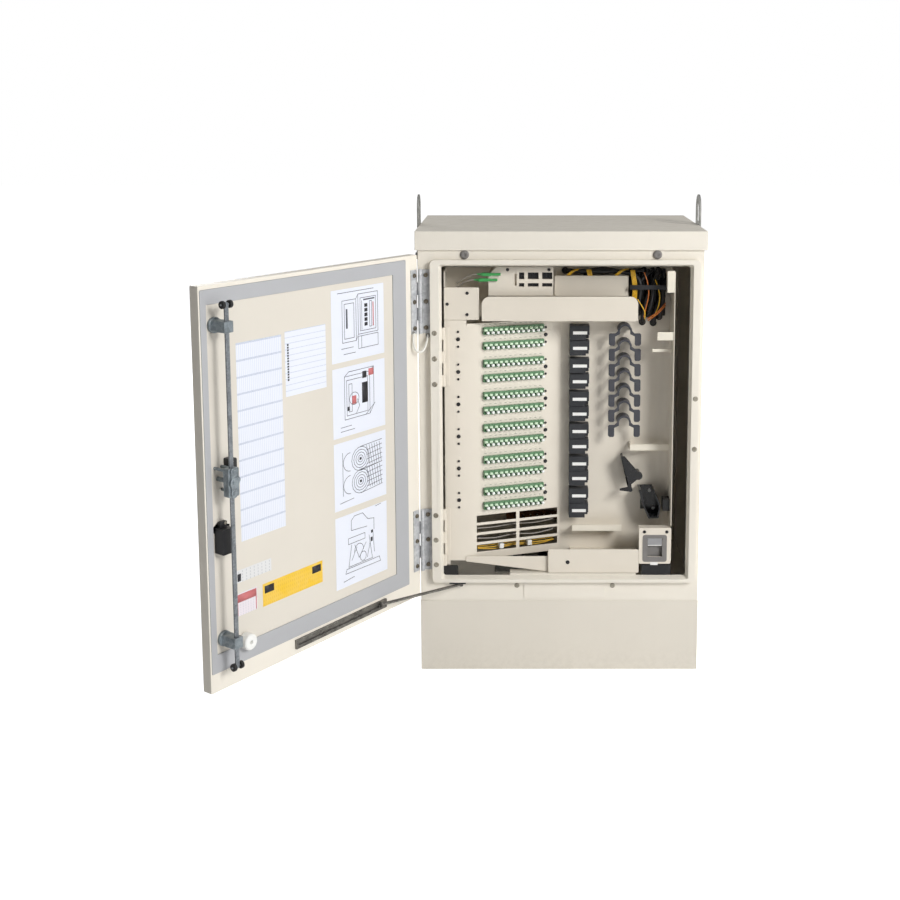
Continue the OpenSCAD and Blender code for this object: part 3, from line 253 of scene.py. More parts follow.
def make_coat_skin():
    """Powder coat: orange peel, slow drift of tone, faint runs, dust on ledges and splash near the ground."""
    tree, given, out = shader_group("coat_skin", [
        ("Color", COLOR, (0.8, 0.8, 0.8, 1)), ("Dirt", COLOR, (0.30, 0.26, 0.20, 1)), ("Amount", FLOAT, 0.5),
        ("Roughness", FLOAT, 0.42), ("Peel", FLOAT, 0.00006)], SKIN_OUTPUTS)
    place = stretched(tree, (1.0, 1.0, 1.0))
    drift = spread(tree, noise(tree, place, 2.6, 4.0), 0.35, 0.65)
    mottle = spread(tree, noise(tree, place, 34.0, 4.0, 0.6), 0.4, 0.75)
    runs = spread(tree, noise(tree, stretched(tree, (26.0, 26.0, 1.1)), 1.0, 4.0, 0.6), 0.52, 0.78)
    ledge = times(tree, spread(tree, upward(tree), 0.55, 0.98), mottle)
    position = tree.nodes.new("ShaderNodeSeparateXYZ")
    tree.links.new(place, position.inputs[0])
    foot = spread(tree, position.outputs["Z"], SPLASH_HEIGHT, 0.0)
    specks = spread(tree, noise(tree, place, 60.0, 6.0, 0.7), 0.42, 0.66)
    splash = times(tree, math_node(tree, "POWER", foot, 2.0), specks)
    grime = plus(tree, times(tree, ledge, LEDGE_DUST), times(tree, runs, RUN_DIRT))
    grime = plus(tree, grime, times(tree, splash, SPLASH_DIRT))
    grime = math_node(tree, "MULTIPLY", grime, given.outputs["Amount"], clamp=True)
    bright = tree.nodes.new("ShaderNodeHueSaturation")
    tree.links.new(given.outputs["Color"], bright.inputs["Color"])
    tree.links.new(plus(tree, 0.975, times(tree, drift, 0.045)), bright.inputs["Value"])
    tree.links.new(mixed(tree, grime, bright.outputs["Color"], given.outputs["Dirt"]), out.inputs["Color"])
    gloss = plus(tree, given.outputs["Roughness"], times(tree, mottle, 0.07))
    tree.links.new(plus(tree, gloss, times(tree, grime, 0.5)), out.inputs["Roughness"])
    peel = noise(tree, place, 420.0, 2.0, 0.5)
    tree.links.new(bump(tree, peel, given.outputs["Peel"]), out.inputs["Normal"])
    return tree


def make_edge_mask():
    """White along sharp edges, broken up by noise, for rubbed corners."""
    tree, given, out = shader_group("edge_mask", [("Radius", FLOAT, 0.0012), ("Break up", FLOAT, 90.0)],
                                    [("Mask", FLOAT)])
    soft = tree.nodes.new("ShaderNodeBevel")
    soft.samples = 4
    tree.links.new(given.outputs["Radius"], soft.inputs["Radius"])
    geometry = tree.nodes.new("ShaderNodeNewGeometry")
    dot = tree.nodes.new("ShaderNodeVectorMath")
    dot.operation = "DOT_PRODUCT"
    tree.links.new(soft.outputs["Normal"], dot.inputs[0])
    tree.links.new(geometry.outputs["Normal"], dot.inputs[1])
    edge = spread(tree, dot.outputs["Value"], 0.985, 0.80)
    broken = noise(tree, stretched(tree, (1, 1, 1)), given.outputs["Break up"], 5.0, 0.7)
    rough = spread(tree, broken, 0.42, 0.58)
    tree.links.new(math_node(tree, "MULTIPLY", edge, rough, clamp=True), out.inputs["Mask"])
    return tree


def make_plated_skin():
    """Zinc and plated steel: crystal blotches, fine rubbing marks, dull patches."""
    tree, given, out = shader_group("plated_skin", [
        ("Color", COLOR, (0.5, 0.5, 0.5, 1)), ("Dull", COLOR, (0.3, 0.3, 0.3, 1)), ("Blotch", FLOAT, 140.0),
        ("Roughness", FLOAT, 0.35), ("Depth", FLOAT, 0.00003)], SKIN_OUTPUTS)
    place = stretched(tree, (1.0, 1.0, 1.0))
    crystal = tree.nodes.new("ShaderNodeTexVoronoi")
    tree.links.new(place, crystal.inputs["Vector"])
    tree.links.new(given.outputs["Blotch"], crystal.inputs["Scale"])
    cell = tree.nodes.new("ShaderNodeSeparateColor")
    tree.links.new(crystal.outputs["Color"], cell.inputs[0])
    patches = spread(tree, noise(tree, place, 38.0, 5.0, 0.65), 0.38, 0.62)
    blend = math_node(tree, "MULTIPLY_ADD", cell.outputs[0], 0.35, times(tree, patches, 0.55), clamp=True)
    tree.links.new(mixed(tree, blend, given.outputs["Color"], given.outputs["Dull"]), out.inputs["Color"])
    marks = noise(tree, stretched(tree, (900.0, 900.0, 60.0)), 1.0, 2.0)
    gloss = plus(tree, given.outputs["Roughness"], times(tree, blend, 0.22))
    tree.links.new(math_node(tree, "MULTIPLY_ADD", marks, 0.10, gloss), out.inputs["Roughness"])
    height = plus(tree, marks, cell.outputs[0])
    tree.links.new(bump(tree, height, given.outputs["Depth"], 0.6), out.inputs["Normal"])
    return tree


def make_moulded_skin():
    """Moulded plastic and rubber: spark grain, faint flow marks, settled dust."""
    tree, given, out = shader_group("moulded_skin", [
        ("Color", COLOR, (0.1, 0.1, 0.1, 1)), ("Light", COLOR, (0.3, 0.3, 0.3, 1)), ("Grain", FLOAT, 900.0),
        ("Roughness", FLOAT, 0.5), ("Depth", FLOAT, 0.00004)], SKIN_OUTPUTS)
    place = stretched(tree, (1.0, 1.0, 1.0))
    grain = noise(tree, place, given.outputs["Grain"], 2.0)
    flow = spread(tree, noise(tree, place, 22.0, 4.0, 0.6), 0.4, 0.7)
    specks = spread(tree, noise(tree, place, 150.0, 5.0, 0.7), 0.35, 0.7)
    dust = times(tree, spread(tree, upward(tree), 0.4, 1.0), specks)
    amount = math_node(tree, "MULTIPLY_ADD", flow, 0.10, times(tree, dust, 0.35), clamp=True)
    tree.links.new(mixed(tree, amount, given.outputs["Color"], given.outputs["Light"]), out.inputs["Color"])
    dull = math_node(tree, "MULTIPLY_ADD", amount, 0.4, given.outputs["Roughness"])
    tree.links.new(dull, out.inputs["Roughness"])
    tree.links.new(bump(tree, grain, given.outputs["Depth"]), out.inputs["Normal"])
    return tree


def make_print_grid():
    """Rows and columns of small marks on a card, read from its own UV map."""
    tree, given, out = shader_group("print_grid", [
        ("Columns", FLOAT, 12.0), ("Rows", FLOAT, 12.0), ("Mark", FLOAT, 0.5), ("Rule", FLOAT, 0.12)],
        [("Mask", FLOAT)])
    uv = tree.nodes.new("ShaderNodeTexCoord")
    split = tree.nodes.new("ShaderNodeSeparateXYZ")
    tree.links.new(uv.outputs["UV"], split.inputs[0])
    across = math_node(tree, "FRACT", times(tree, split.outputs["X"], given.outputs["Columns"]))
    down = math_node(tree, "FRACT", times(tree, split.outputs["Y"], given.outputs["Rows"]))
    aside = math_node(tree, "ABSOLUTE", math_node(tree, "SUBTRACT", across, 0.5))
    mark = times(tree, math_node(tree, "LESS_THAN", aside, 0.10),
                 math_node(tree, "LESS_THAN", down, given.outputs["Mark"]))
    rule = math_node(tree, "GREATER_THAN", down, math_node(tree, "SUBTRACT", 1.0, given.outputs["Rule"]))
    ink = spread(tree, noise(tree, stretched(tree, (1, 1, 1)), 700.0, 2.0), 0.35, 0.6, 0.35, 1.0)
    both = math_node(tree, "MAXIMUM", times(tree, mark, 0.55), times(tree, rule, ink))
    tree.links.new(both, out.inputs["Mask"])
    return tree


GROUPS = {}


def group(name):
    makers = {"coat_skin": make_coat_skin, "edge_mask": make_edge_mask, "plated_skin": make_plated_skin,
              "moulded_skin": make_moulded_skin, "print_grid": make_print_grid}
    if name not in GROUPS:
        GROUPS[name] = makers[name]()
    return GROUPS[name]


# ---------------------------------------------------------------- materials
MATERIALS = {}


def blank(name):
    material = bpy.data.materials.new(name)
    material.use_nodes = True
    tree = material.node_tree
    tree.nodes.clear()
    shader = tree.nodes.new("ShaderNodeBsdfPrincipled")
    end = tree.nodes.new("ShaderNodeOutputMaterial")
    tree.links.new(shader.outputs[0], end.inputs["Surface"])
    return material, tree, shader


def place_group(tree, name, **values):
    node = tree.nodes.new("ShaderNodeGroup")
    node.node_tree = group(name)
    for label, value in values.items():
        node.inputs[label.replace("_", " ")].default_value = value
    return node


def rgba(value):
    return (*value[:3], 1.0)


def wear_skin(tree, skin, shader, tone):
    """Gives the shader a tone and its skin group's roughness and normal."""
    tree.links.new(tone, shader.inputs["Base Color"])
    tree.links.new(skin.outputs["Roughness"], shader.inputs["Roughness"])
    tree.links.new(skin.outputs["Normal"], shader.inputs["Normal"])


def coat(name, value, dirt, roughness, peel=0.00005):
    material, tree, shader = blank(name)
    skin = place_group(tree, "coat_skin", Color=rgba(value), Amount=dirt, Roughness=roughness, Peel=peel)
    wear_skin(tree, skin, shader, skin.outputs["Color"])
    shader.inputs["Specular IOR Level"].default_value = 0.45
    return material


def plated(name, value, dull, blotch, roughness, metal, worn, depth=0.00003):
    material, tree, shader = blank(name)
    skin = place_group(tree, "plated_skin", Color=rgba(value), Dull=rgba(dull), Blotch=blotch,
                       Roughness=roughness, Depth=depth)
    mask = place_group(tree, "edge_mask", Radius=0.0012).outputs["Mask"]
    wear_skin(tree, skin, shader, mixed(tree, mask, skin.outputs["Color"], rgba(worn)))
    shader.inputs["Metallic"].default_value = metal
    return material


def moulded(name, value, light, grain, roughness, depth, worn=None):
    material, tree, shader = blank(name)
    skin = place_group(tree, "moulded_skin", Color=rgba(value), Light=rgba(light), Grain=grain,
                       Roughness=roughness, Depth=depth)
    tone = skin.outputs["Color"]
    if worn is not None:
        mask = place_group(tree, "edge_mask", Radius=0.0010).outputs["Mask"]
        tone = mixed(tree, times(tree, mask, 0.5), tone, rgba(worn))
    wear_skin(tree, skin, shader, tone)
    shader.inputs["Specular IOR Level"].default_value = 0.5
    return material


def printed(name, base, ink, columns, rows, mark, rule):
    """Laminated card with a table of generic marks."""
    material, tree, shader = blank(name)
    skin = place_group(tree, "moulded_skin", Color=rgba(base), Light=(0.9, 0.9, 0.92, 1), Grain=300.0,
                       Roughness=0.30, Depth=0.00001)
    grid = place_group(tree, "print_grid", Columns=float(columns), Rows=float(rows), Mark=mark, Rule=rule)
    wear_skin(tree, skin, shader, mixed(tree, grid.outputs["Mask"], skin.outputs["Color"], rgba(ink)))
    shader.inputs["Coat Weight"].default_value = 0.25
    shader.inputs["Coat Roughness"].default_value = 0.15
    return material


# name, colour as a setting's name or a paint chip, dull patches, blotch, roughness, metal, rubbed edges
PLATINGS = {
    "rod": ("rod_steel", (152, 157, 162), (104, 108, 113), 260.0, 0.30, 0.7, (0.7, 0.72, 0.74)),
    "hinge": ("hinge_galvanised", "steel", (172, 174, 178), 160.0, 0.46, 0.30, (0.85, 0.85, 0.86)),
    "plate": ("plated_steel", (184, 184, 180), (132, 132, 129), 220.0, 0.42, 0.55, (0.75, 0.75, 0.73)),
    "bolt": ("dull_bolts", (142, 134, 118), (88, 80, 68), 300.0, 0.36, 0.8, (0.62, 0.58, 0.5)),
    "frame_bolt": ("coated_bolts", (188, 182, 168), (128, 120, 104), 300.0, 0.34, 0.7, (0.7, 0.67, 0.6)),
    "track": ("stay_metal", (138, 135, 129), (86, 84, 80), 200.0, 0.38, 0.8, (0.62, 0.61, 0.58)),
    "copper": ("ground_copper", (142, 98, 70), (92, 66, 50), 120.0, 0.42, 0.9, (0.6, 0.42, 0.28)),
    "screw": ("dark_screws", (70, 70, 72), (34, 34, 35), 400.0, 0.34, 0.8, (0.4, 0.4, 0.41))}
# name, colour as a setting's name or a paint chip, dust, grain, roughness, depth and, if it rubs, its edges
MOULDINGS = {
    "gasket": ("gasket_foam", "gasket", (0.50, 0.51, 0.54), 1600.0, 0.72, 0.00008),
    "black": ("black_moulding", "black", (0.10, 0.10, 0.105), 700.0, 0.38, 0.00005, (0.16, 0.16, 0.165)),
    "soft_black": ("retainer_moulding", (38, 40, 44), (0.14, 0.145, 0.15), 800.0, 0.48, 0.00005,
                   (0.16, 0.165, 0.18)),
    "spool": ("spool_moulding", (62, 63, 70), (0.20, 0.205, 0.22), 800.0, 0.46, 0.00005,
              (0.22, 0.225, 0.25)),
    "gloss_black": ("gloss_black", (24, 24, 26), (0.09, 0.09, 0.095), 300.0, 0.20, 0.00002,
                    (0.2, 0.2, 0.2)),
    "rubber": ("roller_rubber", (26, 26, 26), (0.10, 0.10, 0.10), 1200.0, 0.55, 0.00006),
    "lever": ("handle_coat", (36, 36, 38), (0.12, 0.12, 0.125), 500.0, 0.36, 0.00005, (0.24, 0.24, 0.24)),
    "green": ("adapter_green", "green", (0.30, 0.46, 0.33), 900.0, 0.40, 0.00003),
    # the adapters' pale green upper faces: a painted highlight
    "pale_green": ("adapter_face_highlight", "pale_green", (0.72, 0.82, 0.70), 900.0, 0.35, 0.00002),
    "white": ("white_moulding", (240, 240, 237), (0.75, 0.74, 0.70), 600.0, 0.38, 0.00003),
    "cap": ("cap_moulding", (244, 246, 243), (0.82, 0.83, 0.80), 600.0, 0.34, 0.00002),
    "finger": ("cream_moulding", (234, 227, 211), (0.52, 0.49, 0.43), 700.0, 0.42, 0.00003),
    "paddle": ("paddle_grey", (150, 150, 152), (0.45, 0.44, 0.42), 600.0, 0.40, 0.00004),
    "grey_plug": ("plug_rubber", (122, 119, 117), (0.32, 0.31, 0.30), 900.0, 0.55, 0.00005),
    "cable": ("cable_jacket", (24, 24, 26), (0.09, 0.09, 0.09), 1400.0, 0.42, 0.00005),
    "yellow": ("yellow_jacket", "yellow", (0.80, 0.62, 0.22), 1400.0, 0.38, 0.00002),
    "orange": ("orange_jacket", (206, 116, 48), (0.70, 0.42, 0.22), 1400.0, 0.38, 0.00002),
    "grey_fibre": ("grey_jacket", (176, 168, 160), (0.55, 0.53, 0.50), 1400.0, 0.40, 0.00002),
    "connector": ("connector_green", (62, 158, 84), (0.30, 0.52, 0.34), 700.0, 0.32, 0.00003),
    "strap": ("strap_jacket", (232, 230, 222), (0.70, 0.68, 0.62), 1100.0, 0.42, 0.00004),
    "ink": ("print_ink", (74, 76, 88), (0.20, 0.20, 0.22), 500.0, 0.5, 0.00001),
    "ink_dark": ("print_ink_dark", (34, 34, 40), (0.08, 0.08, 0.09), 500.0, 0.5, 0.00001),
    "ink_red": ("print_ink_red", (206, 116, 118), (0.6, 0.3, 0.3), 500.0, 0.5, 0.00001),
    "tick": ("panel_print", (176, 178, 166), (0.5, 0.5, 0.45), 500.0, 0.5, 0.00001)}
PLINTH_TINT = (0.90, 0.895, 0.89)


def make_materials(colours, columns):
    def tone(value):
        return getattr(colours, value) if isinstance(value, str) else sheet(*value)
    m = MATERIALS
    m["coat"] = coat("powder_coat", colours.coat, 0.6, 0.40)
    m["roof"] = coat("roof_coat", colours.coat, 0.8, 0.42)
    m["plinth"] = coat("plinth_coat", [c * k for c, k in zip(colours.coat, PLINTH_TINT)], 0.45, 0.46, 0.00007)
    m["liner"] = coat("liner_coat", colours.liner, 0.25, 0.38, 0.00003)
    m["chassis"] = coat("chassis_coat", colours.chassis, 0.35, 0.40, 0.00004)
    # The splitter tray takes the chassis coat darkened to 0.86: painted shade on the deeper tray.
    m["chassis_grey"] = coat("tray_coat_shaded", [c * 0.86 for c in colours.chassis], 0.35, 0.42, 0.00004)
    m["zinc"] = plated("cast_zinc", colours.zinc, [c * 0.45 for c in colours.zinc], 90.0, 0.34, 0.8,
                       (0.75, 0.77, 0.8), 0.00006)
    for key, (name, value, dull, *finish) in PLATINGS.items():
        m[key] = plated(name, tone(value), tone(dull), *finish)
    for key, (name, value, *finish) in MOULDINGS.items():
        m[key] = moulded(name, tone(value), *finish)
    card = colours.card
    m["card"] = printed("plain_card", card, card, 1, 1, 0.0, 0.0)
    m["card_table"] = printed("table_card", card, sheet(186, 194, 212), columns, 12, 0.94, 0.12)
    m["card_list"] = printed("list_card", card, sheet(186, 194, 214), 1, 11, 0.0, 0.10)
    m["card_strip"] = printed("strip_card", sheet(222, 222, 222), sheet(170, 172, 178), 9, 4, 0.6, 0.0)
    m["card_yellow"] = printed("yellow_card", sheet(240, 196, 40), sheet(216, 164, 40), 30, 5, 0.5, 0.0)
    m["card_red"] = printed("red_card", sheet(230, 222, 228), sheet(186, 190, 200), 8, 9, 0.6, 0.0)


# ---------------------------------------------------------------- pieces
def new_piece(name, bm, body, material, replaces=(), weighted=True):
    """Turns a bmesh into a finished piece that rides on a body."""
    mesh = bpy.data.meshes.new(name)
    bm.normal_update()
    for face in bm.faces:
        face.smooth = True
    bm.to_mesh(mesh)
    bm.free()
    piece = bpy.data.objects.new(name, mesh)
    bpy.context.scene.collection.objects.link(piece)
    for one in material if isinstance(material, (list, tuple)) else [material]:
        mesh.materials.append(MATERIALS[one])
    if weighted:
        smooth = piece.modifiers.new("even_shading", "WEIGHTED_NORMAL")
        smooth.keep_sharp = True
    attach(piece, body)
    if replaces:
        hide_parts(*replaces)
    return piece


SHARP_ANGLE = math.radians(34.0)
FLAT_ANGLE = math.radians(0.6)


def finished(node, bevel, material):
    """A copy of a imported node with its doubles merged, its flat faces whole and its sharp edges rounded."""
    source = frame["nodes"][node]
    bm = bmesh.new()
    bm.from_mesh(source.data)
    bmesh.ops.remove_doubles(bm, verts=bm.verts, dist=0.00002)
    bmesh.ops.dissolve_degenerate(bm, edges=bm.edges, dist=0.00001)
    bmesh.ops.dissolve_limit(bm, angle_limit=FLAT_ANGLE, use_dissolve_boundaries=False,
                             verts=bm.verts, edges=bm.edges)
    sharp = [e for e in bm.edges if len(e.link_faces) == 2 and e.calc_face_angle(0.0) > SHARP_ANGLE]
    if bevel > 0 and sharp:
        bmesh.ops.bevel(bm, geom=sharp, offset=bevel, offset_type="OFFSET", segments=2, profile=0.5,
                        affect="EDGES", clamp_overlap=False, material=-1, loop_slide=True,
                        miter_outer="SHARP", miter_inner="SHARP")
    return new_piece(node + "_finish", bm, source["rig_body"], material, (node,))


def edges_of(verts):
    """The edges at these vertices, each once and in the same order on every run."""
    return list(dict.fromkeys(e for v in verts for e in v.link_edges))


def block(bm, low, high, bevel=0.0, matrix=Matrix.Identity(4), segments=2):
    """A box between two corners, its edges rounded, set by a matrix."""
    low, high = Vector(low), Vector(high)
    made = bmesh.ops.create_cube(bm, size=1.0)["verts"]
    bmesh.ops.scale(bm, vec=high - low, verts=made)
    bmesh.ops.translate(bm, vec=(low + high) / 2, verts=made)
    if bevel > 0:
        result = bmesh.ops.bevel(bm, geom=edges_of(made), offset=bevel, offset_type="OFFSET", segments=segments,
                                 profile=0.5, affect="EDGES", clamp_overlap=True, material=-1)
        made = list({v for f in result["faces"] for v in f.verts} | {v for v in made if v.is_valid})
    bmesh.ops.transform(bm, matrix=matrix, verts=made)


def disc(bm, centre, axis, radius, height, sides=24, bevel=0.0, top_radius=None):
    """A round boss from centre along axis."""
    centre, axis = Vector(centre), Vector(axis).normalized()
    turn = axis.to_track_quat("Z", "Y").to_matrix().to_4x4()
    before = set(bm.verts)
    bmesh.ops.create_cone(bm, cap_ends=True, segments=sides, radius1=radius,
                          radius2=radius if top_radius is None else top_radius, depth=height,
                          matrix=Matrix.Translation(centre + axis * height / 2) @ turn)
    made = [v for v in bm.verts if v not in before]
    if bevel > 0:
        rim = [e for e in edges_of(made) if e.calc_face_angle(0.0) > math.radians(50)]
        bmesh.ops.bevel(bm, geom=rim, offset=bevel, offset_type="OFFSET", segments=2, profile=0.5,
                        affect="EDGES", clamp_overlap=True, material=-1)


def smooth_path(points, count):
    """Points on a smooth curve through the given ones."""
    points = [Vector(p) for p in points]
    last = len(points) - 1
    line = []
    for step in range(count + 1):
        t = step / count * last
        i = min(int(t), last - 1)
        u = t - i
        a, b, c, d = (points[max(i - 1, 0)], points[i], points[i + 1], points[min(i + 2, last)])
        line.append(0.5 * ((2 * b) + (c - a) * u + (2 * a - 5 * b + 4 * c - d) * u * u
                           + (3 * b - a - 3 * c + d) * u ** 3))
    return line


def path_length(line):
    return sum((b - a).length for a, b in zip(line, line[1:]))


def tube(bm, line, radius, sides=10, ridge=0.0):
    """A closed tube along a line, extruded ring by ring; ridge makes a conduit's corrugation."""
    previous = None
    side = Vector((0.0, 0.0, 1.0))
    for i, point in enumerate(line):
        ahead = (line[min(i + 1, len(line) - 1)] - line[max(i - 1, 0)]).normalized()
        side = (side - ahead * side.dot(ahead))
        if side.length < 1e-4:
            side = ahead.orthogonal()
        side.normalize()
        across = ahead.cross(side)
        turn = Matrix((side, across, ahead)).transposed().to_4x4()
        wide = radius + (ridge if i % 2 else 0.0)
        if previous is None:
            made = bmesh.ops.create_circle(bm, cap_ends=True, segments=sides, radius=wide,
                                           matrix=Matrix.Translation(point) @ turn)["verts"]
            previous = edges_of(made)
            frame_before, wide_before = Matrix.Translation(point) @ turn, wide
            continue
        grown = bmesh.ops.extrude_edge_only(bm, edges=previous)["geom"]
        verts = [g for g in grown if isinstance(g, bmesh.types.BMVert)]
        here = Matrix.Translation(point) @ turn
        move = here @ Matrix.Scale(wide / wide_before, 4) @ frame_before.inverted()
        bmesh.ops.transform(bm, matrix=move, verts=verts)
        rim = set(verts)
        previous = [g for g in grown if isinstance(g, bmesh.types.BMEdge) and all(v in rim for v in g.verts)]
        frame_before, wide_before = here, wide
    bmesh.ops.contextual_create(bm, geom=previous)
    bmesh.ops.recalc_face_normals(bm, faces=bm.faces)


def cord_piece(name, points, radius, material, replaces=(), ridge=0.0, sides=8):
    """A jacketed cord of the chassis that starts and ends on it."""
    rough = smooth_path(points, 40)
    line = smooth_path(points, max(16, int(path_length(rough) / (radius * 2.5))))
    bm = bmesh.new()
    tube(bm, line, radius, sides, ridge)
    piece = new_piece(name, bm, "chassis", material, replaces, weighted=False)


# ---------------------------------------------------------------- groups of pieces
# each node with its material and its bevel in edge radii
ENCLOSURE = {
    "plinth": ("plinth", 1.0), "body_shell": ("coat", 0.9), "opening_lip": ("coat", 0.9),
    "roof_cap": ("roof", 1.0),
    "base_cover": ("coat", 0.5), "sill_angle": ("coat", 0.4), "gland_plate": ("plate", 0.4),
    "ground_bar": ("copper", 0.6), "cable_glands": ("black", 0.6), "roof_plugs": ("grey_plug", 0.6),
    "lifting_eyes": ("plate", 0.8),
    "eye_bolts": ("plate", 0.5), "frame_bolts": ("frame_bolt", 0.2), "roller_keepers": ("plate", 0.6),
    "corner_block": ("rubber", 1.5), "chassis_keeper": ("gloss_black", 0.6)}
HINGES = {
    "hinge_leaves_fixed": ("hinge", 0.25), "hinge_leaves_moving": ("hinge", 0.25),
    "hinge_pins": ("hinge", 0.3),
    "hinge_bolts_fixed": ("bolt", 0.25), "hinge_bolts_moving": ("bolt", 0.25),
    "chassis_hinges_fixed": ("chassis", 0.2), "chassis_hinges_moving": ("chassis", 0.2),
    "stay_bracket": ("black", 0.4), "stay_track": ("track", 0.3),
    "stay_slider": ("track", 0.2), "stay_arm": ("track", 0.5)}
DOOR_PARTS = {
    "door_skin": ("coat", 0.8), "door_liner": ("liner", 0.2), "door_gasket": ("gasket", 0.4),
    "door_bumper": ("white", 1.2)}
LATCH_PARTS = {
    "rod_guides": ("zinc", 0.8), "latch_case": ("zinc", 0.5), "lock_mounts": ("black", 1.2),
    "handle_plate": ("lever", 0.8), "handle_lever": ("lever", 1.2), "latch_drive": ("zinc", 0.3),
    "rod_upper": ("rod", 0.3), "rod_lower": ("rod", 0.3),
    "rollers_upper": ("rubber", 1.0), "rollers_lower": ("rubber", 1.0)}
CHASSIS_PARTS = {
    "chassis_tray": ("chassis", 0.35), "splitter_module": ("chassis", 0.5),
    # the splitter tray's darkened chassis coat: painted shade
    "splitter_tray": ("chassis_grey", 0.4), "top_corner_plate": ("chassis", 0.4),
    "fibre_troughs": ("chassis", 0.4), "latch_plate": ("chassis", 0.3),
    "latch_paddle": ("paddle", 0.3), "latch_bolt": ("plate", 0.2), "panel_screws": ("screw", 0.3)}
GUIDE_PARTS = {
    "fibre_retainers": ("soft_black", 0.5), "retainer_labels": ("white", 0.12),
    "slack_spools": ("spool", 0.8),
    "bend_guides": ("gloss_black", 0.7), "fibre_fingers": ("finger", 0.5)}


class BuildPieces:
    bl_options = {"REGISTER", "UNDO"}
    table = {}

    def finish_all(self, context):
        edge = context.scene.cabinet_sizes.edge
        for node, (material, bevel) in self.table.items():
            finished(node, bevel * edge, material)


class CABINET_OT_materials(bpy.types.Operator):
    """Makes the coats, platings, plastics and prints"""
    bl_idname = "cabinet.materials"
    bl_label = "Materials"

    def execute(self, context):
        make_materials(context.scene.cabinet_colours, context.scene.cabinet_sizes.grid_columns)
        return {"FINISHED"}


class CABINET_OT_enclosure(BuildPieces, bpy.types.Operator):
    """Finishes the plinth, body, lip, roof and the hardware fixed to them"""
    bl_idname = "cabinet.enclosure"
    bl_label = "Enclosure"
    table = ENCLOSURE

    def execute(self, context):
        self.finish_all(context)
        return {"FINISHED"}


class CABINET_OT_hinges(BuildPieces, bpy.types.Operator):
    """Finishes the hinges and the door stay"""
    bl_idname = "cabinet.hinges"
    bl_label = "Hinges and stay"
    table = HINGES

    def execute(self, context):
        self.finish_all(context)
        return {"FINISHED"}


class CABINET_OT_door(BuildPieces, bpy.types.Operator):
    """Finishes the door pan, its liner, gasket and bumper"""
    bl_idname = "cabinet.door"
    bl_label = "Door"
    table = DOOR_PARTS

    def execute(self, context):
        self.finish_all(context)
        return {"FINISHED"}


class CABINET_OT_latch(BuildPieces, bpy.types.Operator):
    """Finishes the three-point latch and builds the lobed knob on its case"""
    bl_idname = "cabinet.latch"
    bl_label = "Latch"
    table = LATCH_PARTS

    def execute(self, context):
        self.finish_all(context)
        hub = DOOR @ Matrix.Translation((LATCH_X, 0, HUB_Z))
        out = hub.to_3x3() @ Vector((0, 1, 0))
        bm = bmesh.new()
        for x, z, size, rise in ((0, 0, 0.0125, 0.0050), (0.001, 0.0235, 0.0092, 0.0042),
                                 (0.001, -0.0245, 0.0088, 0.0040), (-0.0095, 0.004, 0.0075, 0.0036)):
            disc(bm, hub @ Vector((x, CASE_TOP, z)), out, size, rise, 32, 0.0020)
            disc(bm, hub @ Vector((x, CASE_TOP + rise - 0.0002, z)), out, size * 0.46, 0.0014, 20, 0.0005)
        for low_x, high_x, low_z, high_z in ((-0.0066, 0.0086, -0.024, 0.024),
                                             (-0.0130, 0.004, -0.0045, 0.0105)):
            block(bm, (low_x, CASE_TOP, low_z), (high_x, CASE_TOP + 0.0032, high_z), 0.0013, hub)
        new_piece("latch_casting", bm, "door", "zinc")
        bm = bmesh.new()
        for x, z, h in ((-0.0200, 0.0360, 0.0200), (-0.0060, -0.0960, 0.0080)):
            disc(bm, hub @ Vector((x, h - 0.0002, z)), out, 0.0032, 0.0014, 20, 0.0004)
        new_piece("mount_screws", bm, "door", "frame_bolt")
        return {"FINISHED"}


# distances of each card's sides from the door's free edge, then its foot and its top
CARDS = [[s0 * MM, s1 * MM, z0 * MM, z1 * MM] for s0, s1, z0, z1 in (
    (99, 231, 513, 949), (241.5, 370, 806, 953), (389.5, 571, 855, 1026), (389.5, 571, 676, 842),
    (389.5, 571, 501, 664), (389.5, 571, 309, 485), (82, 183.5, 424, 452), (156, 344, 347, 399),
    (79.5, 139, 349, 400))]
CARD_COATS = ["card_table", "card_list"] + ["card"] * 4 + ["card_strip", "card_yellow", "card_red"]
CARD_BACK, CARD_FRONT = -0.0020, -0.00160
LINE_INK, FIELD_INK = 0.00006, 0.00007
LIST_MARKS, LIST_MARK = 14, 0.028
# each field as card, left, foot, right and top in card units, and its ink
FIELDS = [(6, .02, .10, .12, .70, "ink_dark"),
          (7, .03, .55, .18, .88, "ink_dark"), (7, .82, .55, .97, .88, "ink_dark"),
          (8, .03, .60, .97, .95, "ink_red"), (8, .03, .02, .07, .60, "ink_red"),
          (8, .93, .02, .97, .60, "ink_red")]


def card_box(index):
    s0, s1, z0, z1 = CARDS[index]
    return (DOOR_EDGE - s1, DOOR_EDGE - s0, z0, z1)


def on_card(index, u, v):
    """A spot on a card: u from the free edge and v upwards, both from 0 to 1."""
    x0, x1, z0, z1 = card_box(index)
    return Vector((x1 - u * (x1 - x0), CARD_FRONT, z0 + v * (z1 - z0)))


def print_field(bm, index, u0, v0, u1, v1):
    low, high = on_card(index, u1, v0), on_card(index, u0, v1)
    block(bm, low, (high.x, high.y + FIELD_INK, high.z), 0.0, DOOR)


def print_line(bm, start, stop, wide):
    """A flat stroke between two spots on a card."""
    angle = math.atan2(stop.z - start.z, stop.x - start.x)
    place = DOOR @ Matrix.Translation((start + stop) / 2) @ Matrix.Rotation(-angle, 4, "Y")
    half = (stop - start).length / 2 + wide / 2
    block(bm, (-half, 0, -wide / 2), (half, LINE_INK, wide / 2), 0.0, place)


def rectangle(u0, v0, u1, v1):
    return [(u0, v0), (u1, v0), (u1, v1), (u0, v1), (u0, v0)]


